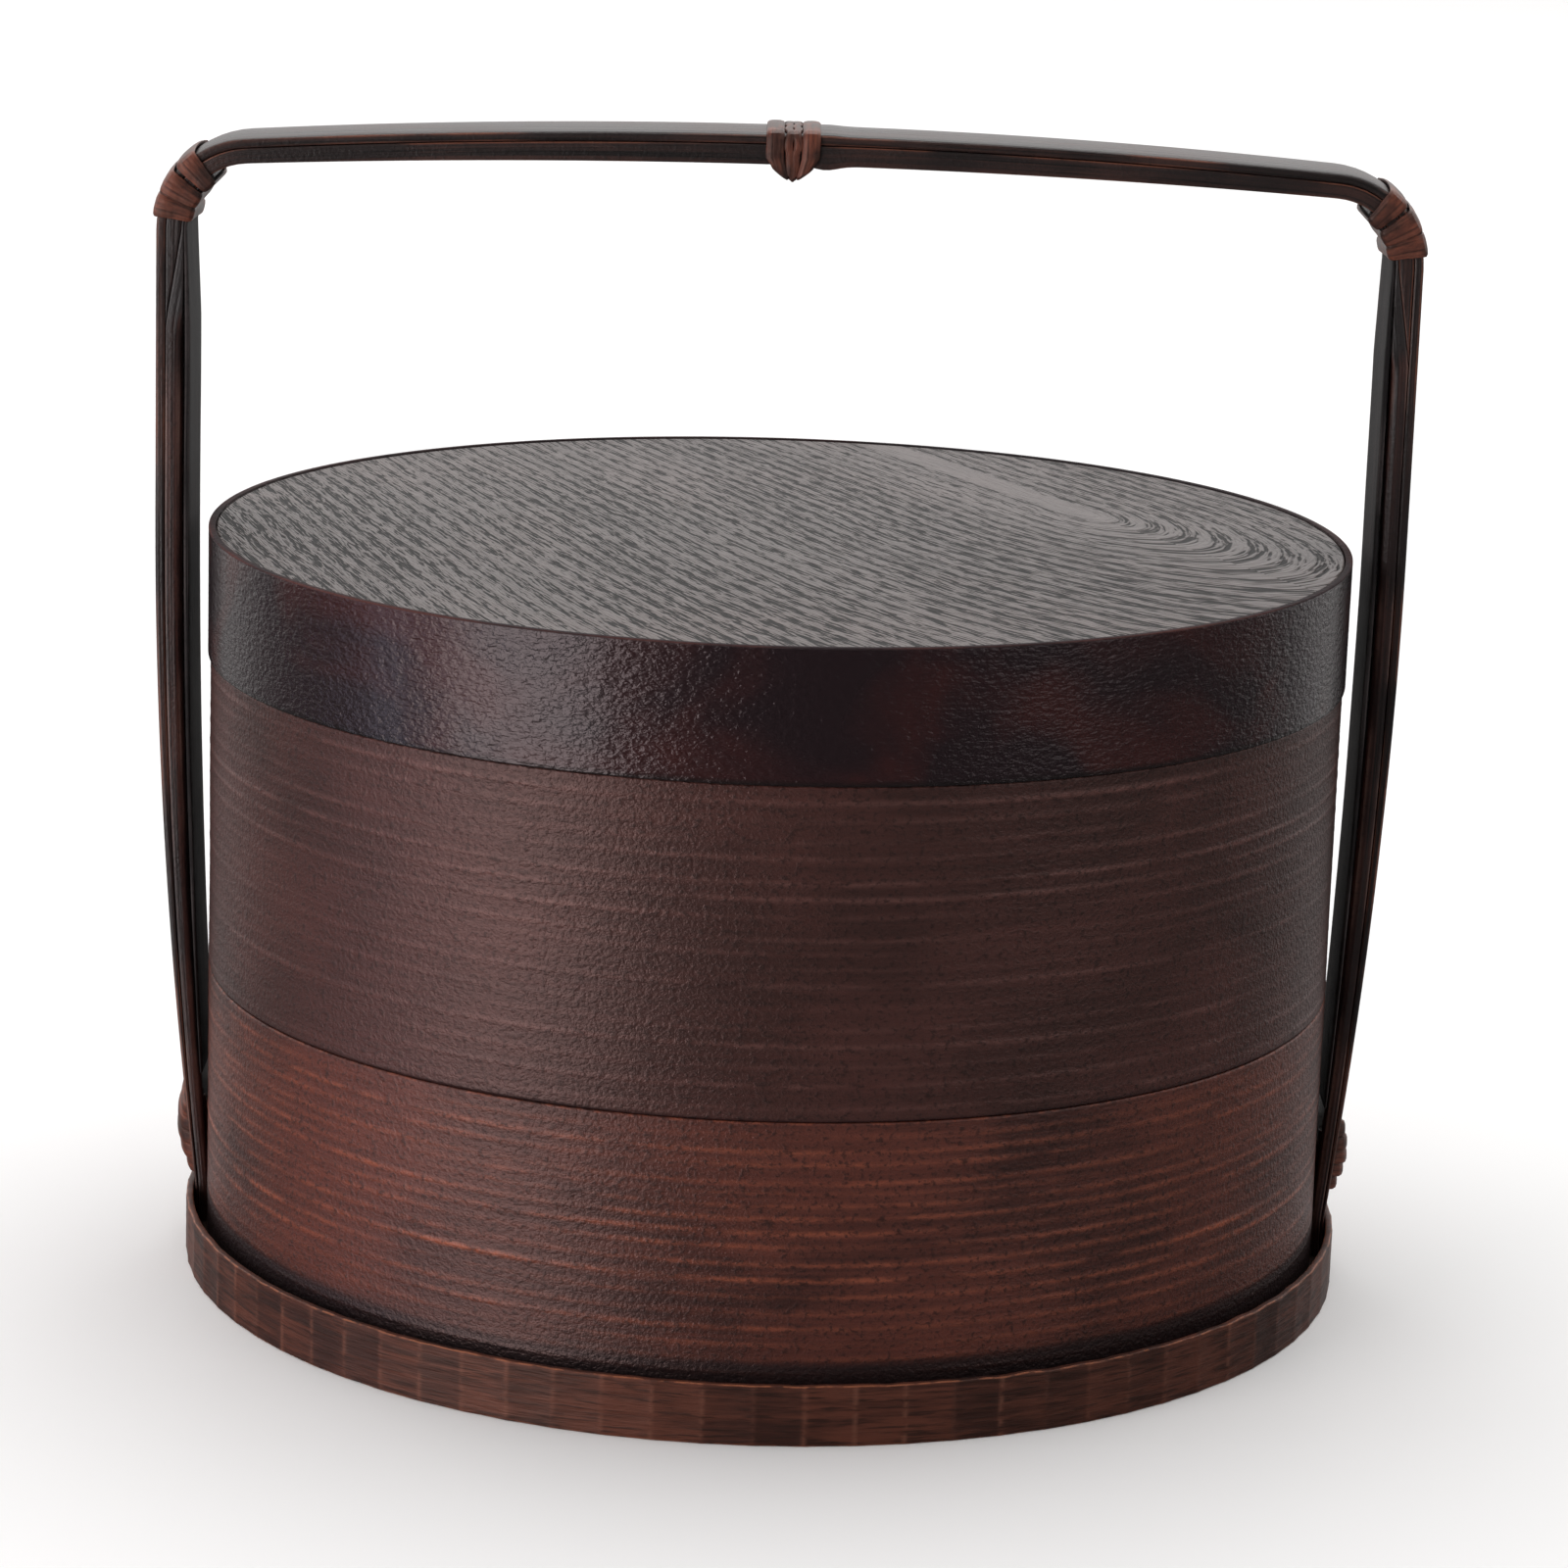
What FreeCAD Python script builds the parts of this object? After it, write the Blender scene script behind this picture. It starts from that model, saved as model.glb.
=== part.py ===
import FreeCAD, Part
import Sketcher
import math
import operator
import os
from types import SimpleNamespace

# Round two-tier food carrier of lacquered bentwood, standing in a bamboo base hoop with a fixed
# bamboo handle lashed with cane. Millimetres, +Z up, the handle spans X, the front faces -Y and
# the origin is the centre of the hoop's foot.

DRIVING_SIZES = {
    # lid and boxes
    "lid_radius": 120.0,
    "lid_overhang": 0.6,        # how far the lid stands out past the boxes
    "box_wall": 2.6,
    "lower_height": 59.7,
    "upper_height": 66.6,
    "lid_height": 27.0,
    "edge_soften": 0.4,
    "bottom_thick": 3.0,
    "groove_deep": 1.0,
    "lip_rise": 6.5,
    "lip_depth": 18.0,
    "lip_wall": 2.0,
    "lip_slack": 0.4,
    "lip_headroom": 1.0,
    "rim_wall": 1.5,
    "liner_recess": 0.2,
    "panel_thick": 3.0,
    "panel_drop": 0.3,
    "panel_slack": 0.15,
    # base
    "board_lift": 1.6,
    "board_thick": 3.0,
    "board_slack": 0.1,
    "hoop_height": 12.6,
    "hoop_wall": 1.6,
    "hoop_room": 3.0,           # from the box to the hoop: the handle's feet stand in it
    # handle
    "handle_room": 11.4,        # from the lid to the outside of the handle's leg
    "hand_room": 85.0,          # from the lid's top to the top of the handle
    "bar_bow": 1470.0,
    "corner_radius": 20.0,
    "knee_above_lid": 2.1,      # where the legs start to curve in towards the hoop
    "strip_width": 21.0,
    "outer_strip": 2.6,
    "outer_strip_foot": 0.9,
    "bar_strip": 4.2,
    "bar_strip_end": 3.2,       # the bar's second layer is thinned where it bends
    "middle_strip": 3.6,
    "middle_strip_tip": 0.7,
    "middle_strip_turn": 57.0,  # degrees that the leg's middle strip reaches round the corner
    "leg_strip": 1.1,
    "leg_strip_tip": 0.5,
    "leg_strip_turn": 52.0,
    "leg_strip_gap": 0.4,
    "leg_strip_end": 38.0,
    "scarf_length": 19.6,
    "foot_slack": 0.35,
    "hoop_slack": 0.1,
    # cane bindings
    "cane_width": 3.1,
    "cane_thick": 0.9,
    "cane_slack": 0.05,
    "corner_turn_slack": 0.12,  # a flat turn needs more room round the corner's curve
    "centre_turn_pitch": 3.7,
    "centre_knot_drop": 2.8,
    "corner_turn_start": 14.0,
    "corner_turn_step": 17.0,
    "lashing_low": 17.5,
    "lashing_high": 32.0,
    "lashing_half": 6.5,
    "lashing_hole": 1.7,
    "lashing_plug": 1.6,
    "lashing_back": 0.4,
    # pins
    "pin_radius": 1.0,
    "pin_slack": 0.05,
    "leg_pin_offset": 5.0,
    "leg_pin_height": 8.6,
    "lap_pin_offset": 6.0,
}

SHEET_NAME = "Sizes"
TURNS_PER_WRAP = 3
OPERATIONS = {"+": operator.add, "-": operator.sub, "*": operator.mul, "/": operator.truediv}


class Size:
    """A number together with the sheet formula that gives it, so drawing and binding agree."""

    def __init__(self, number, formula):
        self.number = float(number)
        self.formula = formula

    def __add__(self, other):
        return combine(self, "+", other)

    def __radd__(self, other):
        return combine(other, "+", self)

    def __sub__(self, other):
        return combine(self, "-", other)

    def __rsub__(self, other):
        return combine(other, "-", self)

    def __mul__(self, other):
        return combine(self, "*", other)

    def __rmul__(self, other):
        return combine(other, "*", self)

    def __truediv__(self, other):
        return combine(self, "/", other)

    def __neg__(self):
        return combine(0, "-", self)


def as_size(item):
    return item if isinstance(item, Size) else Size(item, repr(float(item)))


def combine(left, sign, right):
    left, right = as_size(left), as_size(right)
    number = OPERATIONS[sign](left.number, right.number)
    return Size(number, "(%s %s %s)" % (left.formula, sign, right.formula))


def root(size):
    return Size(math.sqrt(size.number), "sqrt(%s)" % size.formula)


def sine(degrees):
    return Size(math.sin(math.radians(degrees.number)), "sin(%s)" % degrees.formula)


def cosine(degrees):
    return Size(math.cos(math.radians(degrees.number)), "cos(%s)" % degrees.formula)


def slope_angle(rise, run):
    return Size(math.degrees(math.atan2(rise.number, run.number)),
                "atan(%s / %s)" % (rise.formula, run.formula))


# ---- document helpers ----

doc = FreeCAD.newDocument("FoodCarrier")
nodes = []


def fill_sheet():
    sheet = doc.addObject("Spreadsheet::Sheet", SHEET_NAME)
    for row, (name, value) in enumerate(DRIVING_SIZES.items(), start=1):
        sheet.set("A%d" % row, name)
        sheet.set("B%d" % row, str(value))
        sheet.setAlias("B%d" % row, name)
    doc.recompute()
    return SimpleNamespace(**{name: Size(value, "%s.%s" % (SHEET_NAME, name))
                              for name, value in DRIVING_SIZES.items()})


def new_body(name):
    body = doc.addObject("PartDesign::Body", name)
    body.Label = name
    return body


def keep(sub_part, label):
    sub_part.Label = label
    nodes.append(sub_part)
    return sub_part


def pin_point(sketch, geometry, end, across, up):
    """Ties one point of a sketch edge to the sketch's origin with bound distances."""
    for kind, axis, size in (("DistanceX", -2, as_size(across)), ("DistanceY", -1, as_size(up))):
        if size.number == 0:
            sketch.addConstraint(Sketcher.Constraint("PointOnObject", geometry, end, axis))
        else:
            index = sketch.addConstraint(
                Sketcher.Constraint(kind, -1, 1, geometry, end, size.number))
            sketch.setExpression("Constraints[%d]" % index, size.formula)


def bind_radius(sketch, geometry, radius):
    index = sketch.addConstraint(Sketcher.Constraint("Radius", geometry, radius.number))
    sketch.setExpression("Constraints[%d]" % index, radius.formula)


def arc_between(start, finish, radius, anticlockwise):
    """The short arc from start to finish, which Part always keeps anticlockwise."""
    chord = finish - start
    side = FreeCAD.Vector(-chord.y, chord.x, 0) / chord.Length
    rise = math.sqrt(radius ** 2 - (chord.Length / 2) ** 2)
    centre = start + chord / 2 + side * (rise if anticlockwise else -rise)
    first, last = (start, finish) if anticlockwise else (finish, start)
    angles = [math.atan2(point.y - centre.y, point.x - centre.x) for point in (first, last)]
    if angles[1] < angles[0]:
        angles[1] += 2 * math.pi
    circle = Part.Circle(centre, FreeCAD.Vector(0, 0, 1), radius)
    return Part.ArcOfCircle(circle, *angles)


def draw_outline(sketch, corners):
    """Closed outline. A corner is (across, up), or (across, up, radius) where an arc leaves it;
    a negative radius bends clockwise."""
    points = [FreeCAD.Vector(as_size(c[0]).number, as_size(c[1]).number, 0) for c in corners]
    edges = []
    for index, corner in enumerate(corners):
        start, finish = points[index], points[(index + 1) % len(points)]
        if len(corner) == 2:
            edges.append((sketch.addGeometry(Part.LineSegment(start, finish), False), 1, 2))
            continue
        bend = corner[2]
        anticlockwise = bend.number > 0
        radius = bend if anticlockwise else -bend
        arc = arc_between(start, finish, radius.number, anticlockwise)
        geometry = sketch.addGeometry(arc, False)
        bind_radius(sketch, geometry, radius)
        edges.append((geometry, 1, 2) if anticlockwise else (geometry, 2, 1))
    for index, (geometry, start_end, _) in enumerate(edges):
        before, _, before_end = edges[index - 1]
        sketch.addConstraint(
            Sketcher.Constraint("Coincident", before, before_end, geometry, start_end))
        pin_point(sketch, geometry, start_end, corners[index][0], corners[index][1])


def draw_circle(sketch, across, up, radius):
    centre = FreeCAD.Vector(as_size(across).number, as_size(up).number, 0)
    circle = Part.Circle(centre, FreeCAD.Vector(0, 0, 1), radius.number)
    geometry = sketch.addGeometry(circle, False)
    pin_point(sketch, geometry, 3, across, up)
    bind_radius(sketch, geometry, radius)


def new_sketch(body, plane_role, name, height=None):
    """A sketch on one of the body's own origin planes, raised by height along Z if given."""
    sketch = body.newObject("Sketcher::SketchObject", name)
    plane = next(item for item in body.Origin.OriginFeatures if item.Role == plane_role)
    sketch.AttachmentSupport = [(plane, "")]
    sketch.MapMode = "FlatFace"
    if height is not None:
        sketch.setExpression("AttachmentOffset.Base.z", height.formula)
    return sketch


def revolve(body, corners):
    sketch = new_sketch(body, "XZ_Plane", body.Name + "_section")
    draw_outline(sketch, corners)
    revolution = body.newObject("PartDesign::Revolution", body.Name + "_revolve")
    revolution.Profile = sketch
    revolution.ReferenceAxis = (sketch, ["V_Axis"])
    revolution.Angle = 360
    doc.recompute()


def pad(body, corners, depth):
    """A strip or block drawn in the XZ plane and padded evenly to both sides of it."""
    sketch = new_sketch(body, "XZ_Plane", body.Name + "_profile")
    draw_outline(sketch, corners)
    padding = body.newObject("PartDesign::Pad", body.Name + "_pad")
    padding.Profile = sketch
    padding.SideType = "Symmetric"
    padding.setExpression("Length", depth.formula)
    doc.recompute()
    return padding


def drill(body, plane_role, name, circles, both_sides=True):
    """Round holes right through the body, square to a plane; checks that they did cut."""
    before = body.Shape.Volume
    sketch = new_sketch(body, plane_role, name + "_circles")
    for across, up, radius in circles:
        draw_circle(sketch, across, up, radius)
    pocket = body.newObject("PartDesign::Pocket", name)
    pocket.Profile = sketch
    pocket.Type = "ThroughAll"
    pocket.SideType = "Symmetric" if both_sides else "One side"
    doc.recompute()
    if not pocket.Shape.Volume < before:
        raise RuntimeError(name + " cuts nothing")
    return pocket


def bind_place(item, x, y, z):
    for axis, size in (("x", x), ("y", y), ("z", z)):
        item.setExpression("Placement.Base." + axis, as_size(size).formula)


def block(name, size, centre):
    """A Part box of bound size about a bound centre."""
    box = doc.addObject("Part::Box", name)
    for side, length in zip(("Length", "Width", "Height"), size):
        box.setExpression(side, as_size(length).formula)
    bind_place(box, *(middle - length / 2 for middle, length in zip(map(as_size, centre), size)))
    return box


def rod(name, axis, radius, length, start):
    """A Part cylinder that runs from start along +X or +Y."""
    cylinder = doc.addObject("Part::Cylinder", name)
    turn_axis, turn = {"X": ((0, 1, 0), 90), "Y": ((1, 0, 0), -90)}[axis]
    cylinder.Placement.Rotation = FreeCAD.Rotation(FreeCAD.Vector(*turn_axis), turn)
    cylinder.setExpression("Radius", radius.formula)
    cylinder.setExpression("Height", length.formula)
    bind_place(cylinder, *start)
    return cylinder


def gather(name, kind, members, axis=None, angle=None, place=None):
    """Part::Compound or Part::MultiFuse of members, turned by a bound angle and set in place."""
    group = doc.addObject(kind, name)
    if kind == "Part::Compound":
        group.Links = members
    else:
        group.Shapes = members
    if axis is not None:
        group.Placement.Rotation = FreeCAD.Rotation(FreeCAD.Vector(*axis), 1)
        group.setExpression("Placement.Rotation.Angle", angle.formula)
    if place is not None:
        bind_place(group, *place)
    return group


# ---- shared levels, radii and the handle's curves ----

s = fill_sheet()

board_top = s.board_lift + s.board_thick
lower_top = board_top + s.lower_height
upper_top = lower_top + s.upper_height
lid_top = upper_top + s.lid_height

box_radius = s.lid_radius - s.lid_overhang
box_inside = box_radius - s.box_wall
hoop_inside = box_radius + s.hoop_room
hoop_outside = hoop_inside + s.hoop_wall

handle_half = s.lid_radius + s.handle_room
handle_top = lid_top + s.hand_room
knee = lid_top + s.knee_above_lid
bar_centre = handle_top - s.bar_bow
corner_x = handle_half - s.corner_radius
corner_z = bar_centre + root((s.bar_bow - s.corner_radius) * (s.bar_bow - s.corner_radius)
                             - corner_x * corner_x)
scarf_low = corner_z - s.scarf_length

# thickness of the layers, counted inwards from the handle's outside
bar_thick = s.outer_strip + s.bar_strip
end_thick = s.outer_strip + s.bar_strip_end
corner_thick = end_thick + s.middle_strip_tip + s.leg_strip_tip

# where the leg's layers stand in the hoop
foot_outside = root(hoop_inside * hoop_inside - s.strip_width * s.strip_width / 4) - s.hoop_slack
foot_inside = box_radius + s.foot_slack
foot_between = foot_outside - s.outer_strip_foot


def arc_radius(drop, inset):
    """Radius of an arc that leaves the vertical and has moved in by inset after drop."""
    return (drop * drop + inset * inset) / (inset * 2)


class LegFace:
    """One face of the leg: straight down to the knee, then an arc in to a lower point."""

    def __init__(self, at_knee, at_end, end_height):
        self.at_knee = at_knee
        self.at_end = at_end
        self.bend = arc_radius(knee - end_height, at_knee - at_end)

    def at(self, height):
        drop = knee - as_size(height)
        return self.at_knee - self.bend + root(self.bend * self.bend - drop * drop)


outer_face = LegFace(handle_half, foot_outside, s.hoop_height)
between_face = LegFace(handle_half - s.outer_strip, foot_between, s.hoop_height)
middle_face = LegFace(handle_half - s.outer_strip - s.middle_strip, foot_inside, s.hoop_height)


def bar_corner(depth):
    """Where bar and corner arcs meet, at a depth inside the handle's outside."""
    share = (s.corner_radius - depth) / (s.bar_bow - s.corner_radius)
    return corner_x + corner_x * share, corner_z + (corner_z - bar_centre) * share


def round_corner(radius, degrees):
    """A point at a radius and an angle above level about the corner's centre."""
    return corner_x + radius * cosine(degrees), corner_z + radius * sine(degrees)


# ---- boxes and lid ----

def soft_ring(inside, outside, low, high):
    """Section of a ring whose four edges are eased."""
    ease = s.edge_soften
    return [(inside, low + ease), (inside + ease, low), (outside - ease, low),
            (outside, low + ease), (outside, high - ease), (outside - ease, high),
            (inside + ease, high), (inside, high - ease)]


def make_box(name, low, high):
    """Bentwood wall with a groove for its bottom, the bottom, and the lip hoop inside."""
    ease = s.edge_soften
    bottom_low = low + s.lip_rise + s.lip_headroom
    bottom_high = bottom_low + s.bottom_thick
    groove = box_inside + s.groove_deep

    wall = new_body(name + "_wall")
    section = soft_ring(box_inside, box_radius, low, high)
    section += [(box_inside, bottom_high), (groove, bottom_high),
                (groove, bottom_low), (box_inside, bottom_low)]
    revolve(wall, section)
    keep(wall, name + "_wall")

    bottom = new_body(name + "_bottom")
    revolve(bottom, [(0, bottom_low), (groove, bottom_low), (groove, bottom_high),
                     (0, bottom_high)])
    keep(bottom, name + "_bottom")

    lip = new_body(name + "_lip")
    lip_inside = box_inside - s.lip_wall
    lip_outside = box_inside - s.lip_slack
    lip_top = high + s.lip_rise
    revolve(lip, [(lip_inside, high - s.lip_depth), (box_inside, high - s.lip_depth),
                  (box_inside, high - ease), (lip_outside, high),
                  (lip_outside, lip_top - ease), (lip_outside - ease, lip_top),
                  (lip_inside + ease, lip_top), (lip_inside, lip_top - ease)])
    keep(lip, name + "_lip")


def make_lid():
    rim_inside = s.lid_radius - s.rim_wall
    panel_top = lid_top - s.panel_drop
    panel_low = panel_top - s.panel_thick

    rim = new_body("lid_rim")
    revolve(rim, soft_ring(rim_inside, s.lid_radius, upper_top, lid_top))
    keep(rim, "lid_rim")

    liner = new_body("lid_liner")
    revolve(liner, soft_ring(box_inside, rim_inside, upper_top + s.liner_recess, panel_low))
    keep(liner, "lid_liner")

    panel = new_body("lid_panel")
    edge = rim_inside - s.panel_slack
    ease = s.edge_soften
    revolve(panel, [(0, panel_low), (edge, panel_low), (edge, panel_top - ease),
                    (edge - ease, panel_top), (0, panel_top)])
    keep(panel, "lid_panel")


# ---- base ----

def make_base():
    hoop = new_body("base_hoop")
    revolve(hoop, soft_ring(hoop_inside, hoop_outside, as_size(0), s.hoop_height))
    hole = s.pin_radius + s.pin_slack
    drill(hoop, "YZ_Plane", "leg_pin_holes",
          [(s.leg_pin_offset * side, s.leg_pin_height, hole) for side in (-1, 1)])
    drill(hoop, "XZ_Plane", "lap_pin_holes",
          [(s.lap_pin_offset * side, s.hoop_height / 2, hole) for side in (-1, 1)],
          both_sides=False)
    keep(hoop, "base_hoop")

    board = new_body("base_board")
    revolve(board, [(0, s.board_lift), (hoop_inside - s.board_slack, s.board_lift),
                    (hoop_inside - s.board_slack, board_top), (0, board_top)])
    before = board.Shape.Volume
    notches = new_sketch(board, "XY_Plane", "foot_notch_outlines")
    notch_inside = foot_inside - s.board_slack
    notch_half = s.strip_width / 2 + s.board_slack
    for side in (-1, 1):
        draw_outline(notches, [(notch_inside * side, -notch_half), (hoop_outside * side, -notch_half),
                               (hoop_outside * side, notch_half), (notch_inside * side, notch_half)])
    cut = board.newObject("PartDesign::Pocket", "foot_notches")
    cut.Profile = notches
    cut.Type = "ThroughAll"
    cut.SideType = "Symmetric"
    doc.recompute()
    if not cut.Shape.Volume < before:
        raise RuntimeError("foot_notches cuts nothing")
    keep(board, "base_board")


def make_pins():
    length = hoop_outside - foot_inside
    starts = {"right": foot_inside, "left": -hoop_outside}
    leg_pins = [rod("leg_pin_%s_%s" % (hand, row), "X", s.pin_radius, length,
                    (start, s.leg_pin_offset * side, s.leg_pin_height))
                for hand, start in starts.items() for row, side in (("front", -1), ("back", 1))]
    keep(gather("leg_pins_group", "Part::Compound", leg_pins), "leg_pins")
    lap_pins = [rod("lap_pin_" + hand, "Y", s.pin_radius, s.hoop_wall,
                    (s.lap_pin_offset * side, hoop_inside, s.hoop_height / 2))
                for hand, side in (("left", -1), ("right", 1))]
    keep(gather("lap_pins_group", "Part::Compound", lap_pins), "hoop_lap_pins")


# ---- handle ----

def leg_holes(body, name):
    """Holes for the lashing and the foot pins, square through the leg."""
    lashing = [(s.lashing_half * side, height, s.lashing_hole)
               for side in (-1, 1) for height in (s.lashing_low, s.lashing_high)]
    pins = [(s.leg_pin_offset * side, s.leg_pin_height, s.pin_radius + s.pin_slack)
            for side in (-1, 1)]
    drill(body, "YZ_Plane", name, lashing + pins)


def make_outer_strip():
    """One long strip: up one leg, over the bar and down the other leg."""
    strip = new_body("handle_outer_strip")
    depth = s.outer_strip
    half_strip = pad(strip, [
        (0, handle_top, -s.bar_bow),
        (*bar_corner(0), -s.corner_radius),
        (handle_half, corner_z),
        (handle_half, knee, -outer_face.bend),
        (foot_outside, s.hoop_height),
        (foot_outside, s.board_lift),
        (foot_between, s.board_lift),
        (foot_between, s.hoop_height, between_face.bend),
        (between_face.at_knee, knee),
        (between_face.at_knee, corner_z, s.corner_radius - depth),
        (*bar_corner(depth), s.bar_bow - depth),
        (0, handle_top - depth),
    ], s.strip_width)
    mirrored = strip.newObject("PartDesign::Mirrored", "both_legs")
    mirrored.Originals = [half_strip]
    mirror_plane = next(item for item in strip.Origin.OriginFeatures if item.Role == "YZ_Plane")
    mirrored.MirrorPlane = (mirror_plane, [""])
    strip.Tip = mirrored
    doc.recompute()
    leg_holes(strip, "outer_strip_holes")
    keep(strip, "handle_outer_strip")


def make_bar_strip():
    """Second layer of the bar; its ends are scarfed to nothing below the corners."""
    strip = new_body("handle_bar_strip")
    inside = handle_half - end_thick
    end_x, end_z = bar_corner(end_thick)
    half_strip = pad(strip, [
        (0, handle_top - s.outer_strip, -(s.bar_bow - s.outer_strip)),
        (*bar_corner(s.outer_strip), -(s.corner_radius - s.outer_strip)),
        (between_face.at_knee, corner_z),
        (between_face.at_knee, scarf_low),
        (inside, corner_z, s.corner_radius - end_thick),
        (end_x, end_z, arc_radius(end_x, handle_top - bar_thick - end_z)),
        (0, handle_top - bar_thick),
    ], s.strip_width)
    mirrored = strip.newObject("PartDesign::Mirrored", "both_ends")
    mirrored.Originals = [half_strip]
    mirror_plane = next(item for item in strip.Origin.OriginFeatures if item.Role == "YZ_Plane")
    mirrored.MirrorPlane = (mirror_plane, [""])
    strip.Tip = mirrored
    doc.recompute()
    keep(strip, "handle_bar_strip")


def make_leg_strips(hand, turn):
    """The two inner layers of one leg, drawn on the right and turned about Z for the left."""
    bar_inside = handle_half - end_thick
    tip_inside = bar_inside - s.middle_strip_tip
    tip_radius = s.corner_radius - end_thick
    inner_radius = tip_radius - s.middle_strip_tip

    middle = new_body("middle_strip_" + hand)
    pad(middle, [
        (*round_corner(tip_radius, s.middle_strip_turn), -tip_radius),
        (bar_inside, corner_z),
        (between_face.at_knee, scarf_low),
        (between_face.at_knee, knee, -between_face.bend),
        (foot_between, s.hoop_height),
        (foot_between, s.board_lift),
        (foot_inside, s.board_lift),
        (foot_inside, s.hoop_height, middle_face.bend),
        (middle_face.at_knee, knee),
        (middle_face.at_knee, scarf_low),
        (tip_inside, corner_z, inner_radius),
        round_corner(inner_radius, s.middle_strip_turn),
    ], s.strip_width)
    leg_holes(middle, "middle_strip_holes_" + hand)

    inner = new_body("inner_strip_" + hand)
    end_outside = middle_face.at(s.leg_strip_end)
    end_inside = end_outside - s.leg_strip_tip
    near = LegFace(middle_face.at_knee - s.leg_strip_gap, end_outside, s.leg_strip_end)
    far = LegFace(near.at_knee - s.leg_strip, end_inside, s.leg_strip_end)
    end_radius = inner_radius - s.leg_strip_tip
    pad(inner, [
        (*round_corner(inner_radius, s.leg_strip_turn), -inner_radius),
        (tip_inside, corner_z),
        (near.at_knee, scarf_low),
        (near.at_knee, knee, -near.bend),
        (end_outside, s.leg_strip_end),
        (end_inside, s.leg_strip_end, far.bend),
        (far.at_knee, knee),
        (far.at_knee, scarf_low),
        (tip_inside - s.leg_strip_tip, corner_z, end_radius),
        round_corner(end_radius, s.leg_strip_turn),
    ], s.strip_width)

    for body, label in ((middle, "leg_middle_strip_"), (inner, "leg_inner_strip_")):
        body.Placement = turn
        keep(body, label + hand)


# ---- cane bindings ----

def cane_turn(name, x, z, lean, thickness, slack):
    """One turn of flat cane round the strips: lean is its outward direction above level."""
    opening = thickness + slack * 2
    width = s.strip_width + slack * 2
    band = block(name + "_band", (opening + s.cane_thick * 2, width + s.cane_thick * 2,
                                  s.cane_width), (0, 0, 0))
    room = block(name + "_room", (opening, width, s.cane_width * 2), (0, 0, 0))
    turn = doc.addObject("Part::Cut", name)
    turn.Base = band
    turn.Tool = room
    turn.Placement.Rotation = FreeCAD.Rotation(FreeCAD.Vector(0, -1, 0), 1)
    turn.setExpression("Placement.Rotation.Angle", lean.formula)
    bind_place(turn, x, 0, z)
    return turn


def make_centre_wrap():
    middle = handle_top - bar_thick / 2
    turns = [cane_turn("centre_turn_%d" % count, s.centre_turn_pitch * count, middle,
                       as_size(90), bar_thick, s.cane_slack) for count in (-1, 0, 1)]
    knot = new_body("centre_knot")
    knot_top = handle_top - bar_thick - s.cane_slack - s.cane_thick / 2
    half = s.centre_turn_pitch + s.cane_width / 2
    pad(knot, [(-half, knot_top), (0, knot_top - s.cane_thick / 2 - s.centre_knot_drop),
               (half, knot_top)], s.strip_width / 2)
    keep(gather("centre_binding", "Part::MultiFuse", turns + [knot]), "centre_wrap")


def make_corner_wrap(hand, turn):
    mid_radius = s.corner_radius - corner_thick / 2
    turns = []
    for count in range(TURNS_PER_WRAP):
        lean = s.corner_turn_start + s.corner_turn_step * count
        x, z = round_corner(mid_radius, lean)
        turns.append(cane_turn("corner_turn_%s_%d" % (hand, count), x, z, lean, corner_thick,
                               s.corner_turn_slack))
    wrap = gather("corner_binding_" + hand, "Part::Compound", turns)
    wrap.Placement = turn
    keep(wrap, "corner_wrap_" + hand)


def make_lashing(hand, turn):
    """Cane crossed on the outside of the leg, through four holes and straight down behind."""
    rise = s.lashing_high - s.lashing_low
    middle = (s.lashing_high + s.lashing_low) / 2
    outside = [outer_face.at(height) for height in (s.lashing_low, s.lashing_high)]
    inside = [middle_face.at(height) for height in (s.lashing_low, s.lashing_high)]

    length = root(rise * rise + s.lashing_half * s.lashing_half * 4) + s.cane_width
    cross_angle = slope_angle(s.lashing_half * 2, rise)
    strands = []
    for layer, side in enumerate((-1, 1)):
        away = s.cane_slack + s.cane_thick * (layer + 0.5)
        strand = block("strand_%s_%d" % (hand, layer), (s.cane_thick, s.cane_width, length),
                       (away, 0, 0))
        strands.append(gather("slant_%s_%d" % (hand, layer), "Part::Compound", [strand],
                              (side, 0, 0), cross_angle))
    cross = gather("cross_" + hand, "Part::Compound", strands, (0, 1, 0),
                   slope_angle(outside[1] - outside[0], rise),
                   ((outside[0] + outside[1]) / 2, 0, middle))

    backs = []
    for row, side in (("front", -1), ("back", 1)):
        strand = block("return_%s_%s" % (hand, row),
                       (s.lashing_back, s.cane_width, rise + s.cane_width),
                       (-(s.lashing_back / 2 + s.cane_slack), s.lashing_half * side, 0))
        backs.append(gather("return_lean_%s_%s" % (hand, row), "Part::Compound", [strand],
                            (0, 1, 0), slope_angle(inside[1] - inside[0], rise),
                            ((inside[0] + inside[1]) / 2, 0, middle)))

    plugs = []
    for level, height in enumerate((s.lashing_low, s.lashing_high)):
        start = inside[level] - s.lashing_back
        for row, side in (("front", -1), ("back", 1)):
            plugs.append(rod("plug_%s_%s_%d" % (hand, row, level), "X", s.lashing_plug,
                             outside[level] + s.cane_thick - start,
                             (start, s.lashing_half * side, height)))
    lashing = gather("lashing_" + hand, "Part::MultiFuse", [cross] + backs + plugs)
    lashing.Placement = turn
    keep(lashing, "leg_lashing_" + hand)


# ---- build, check and write ----

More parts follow.
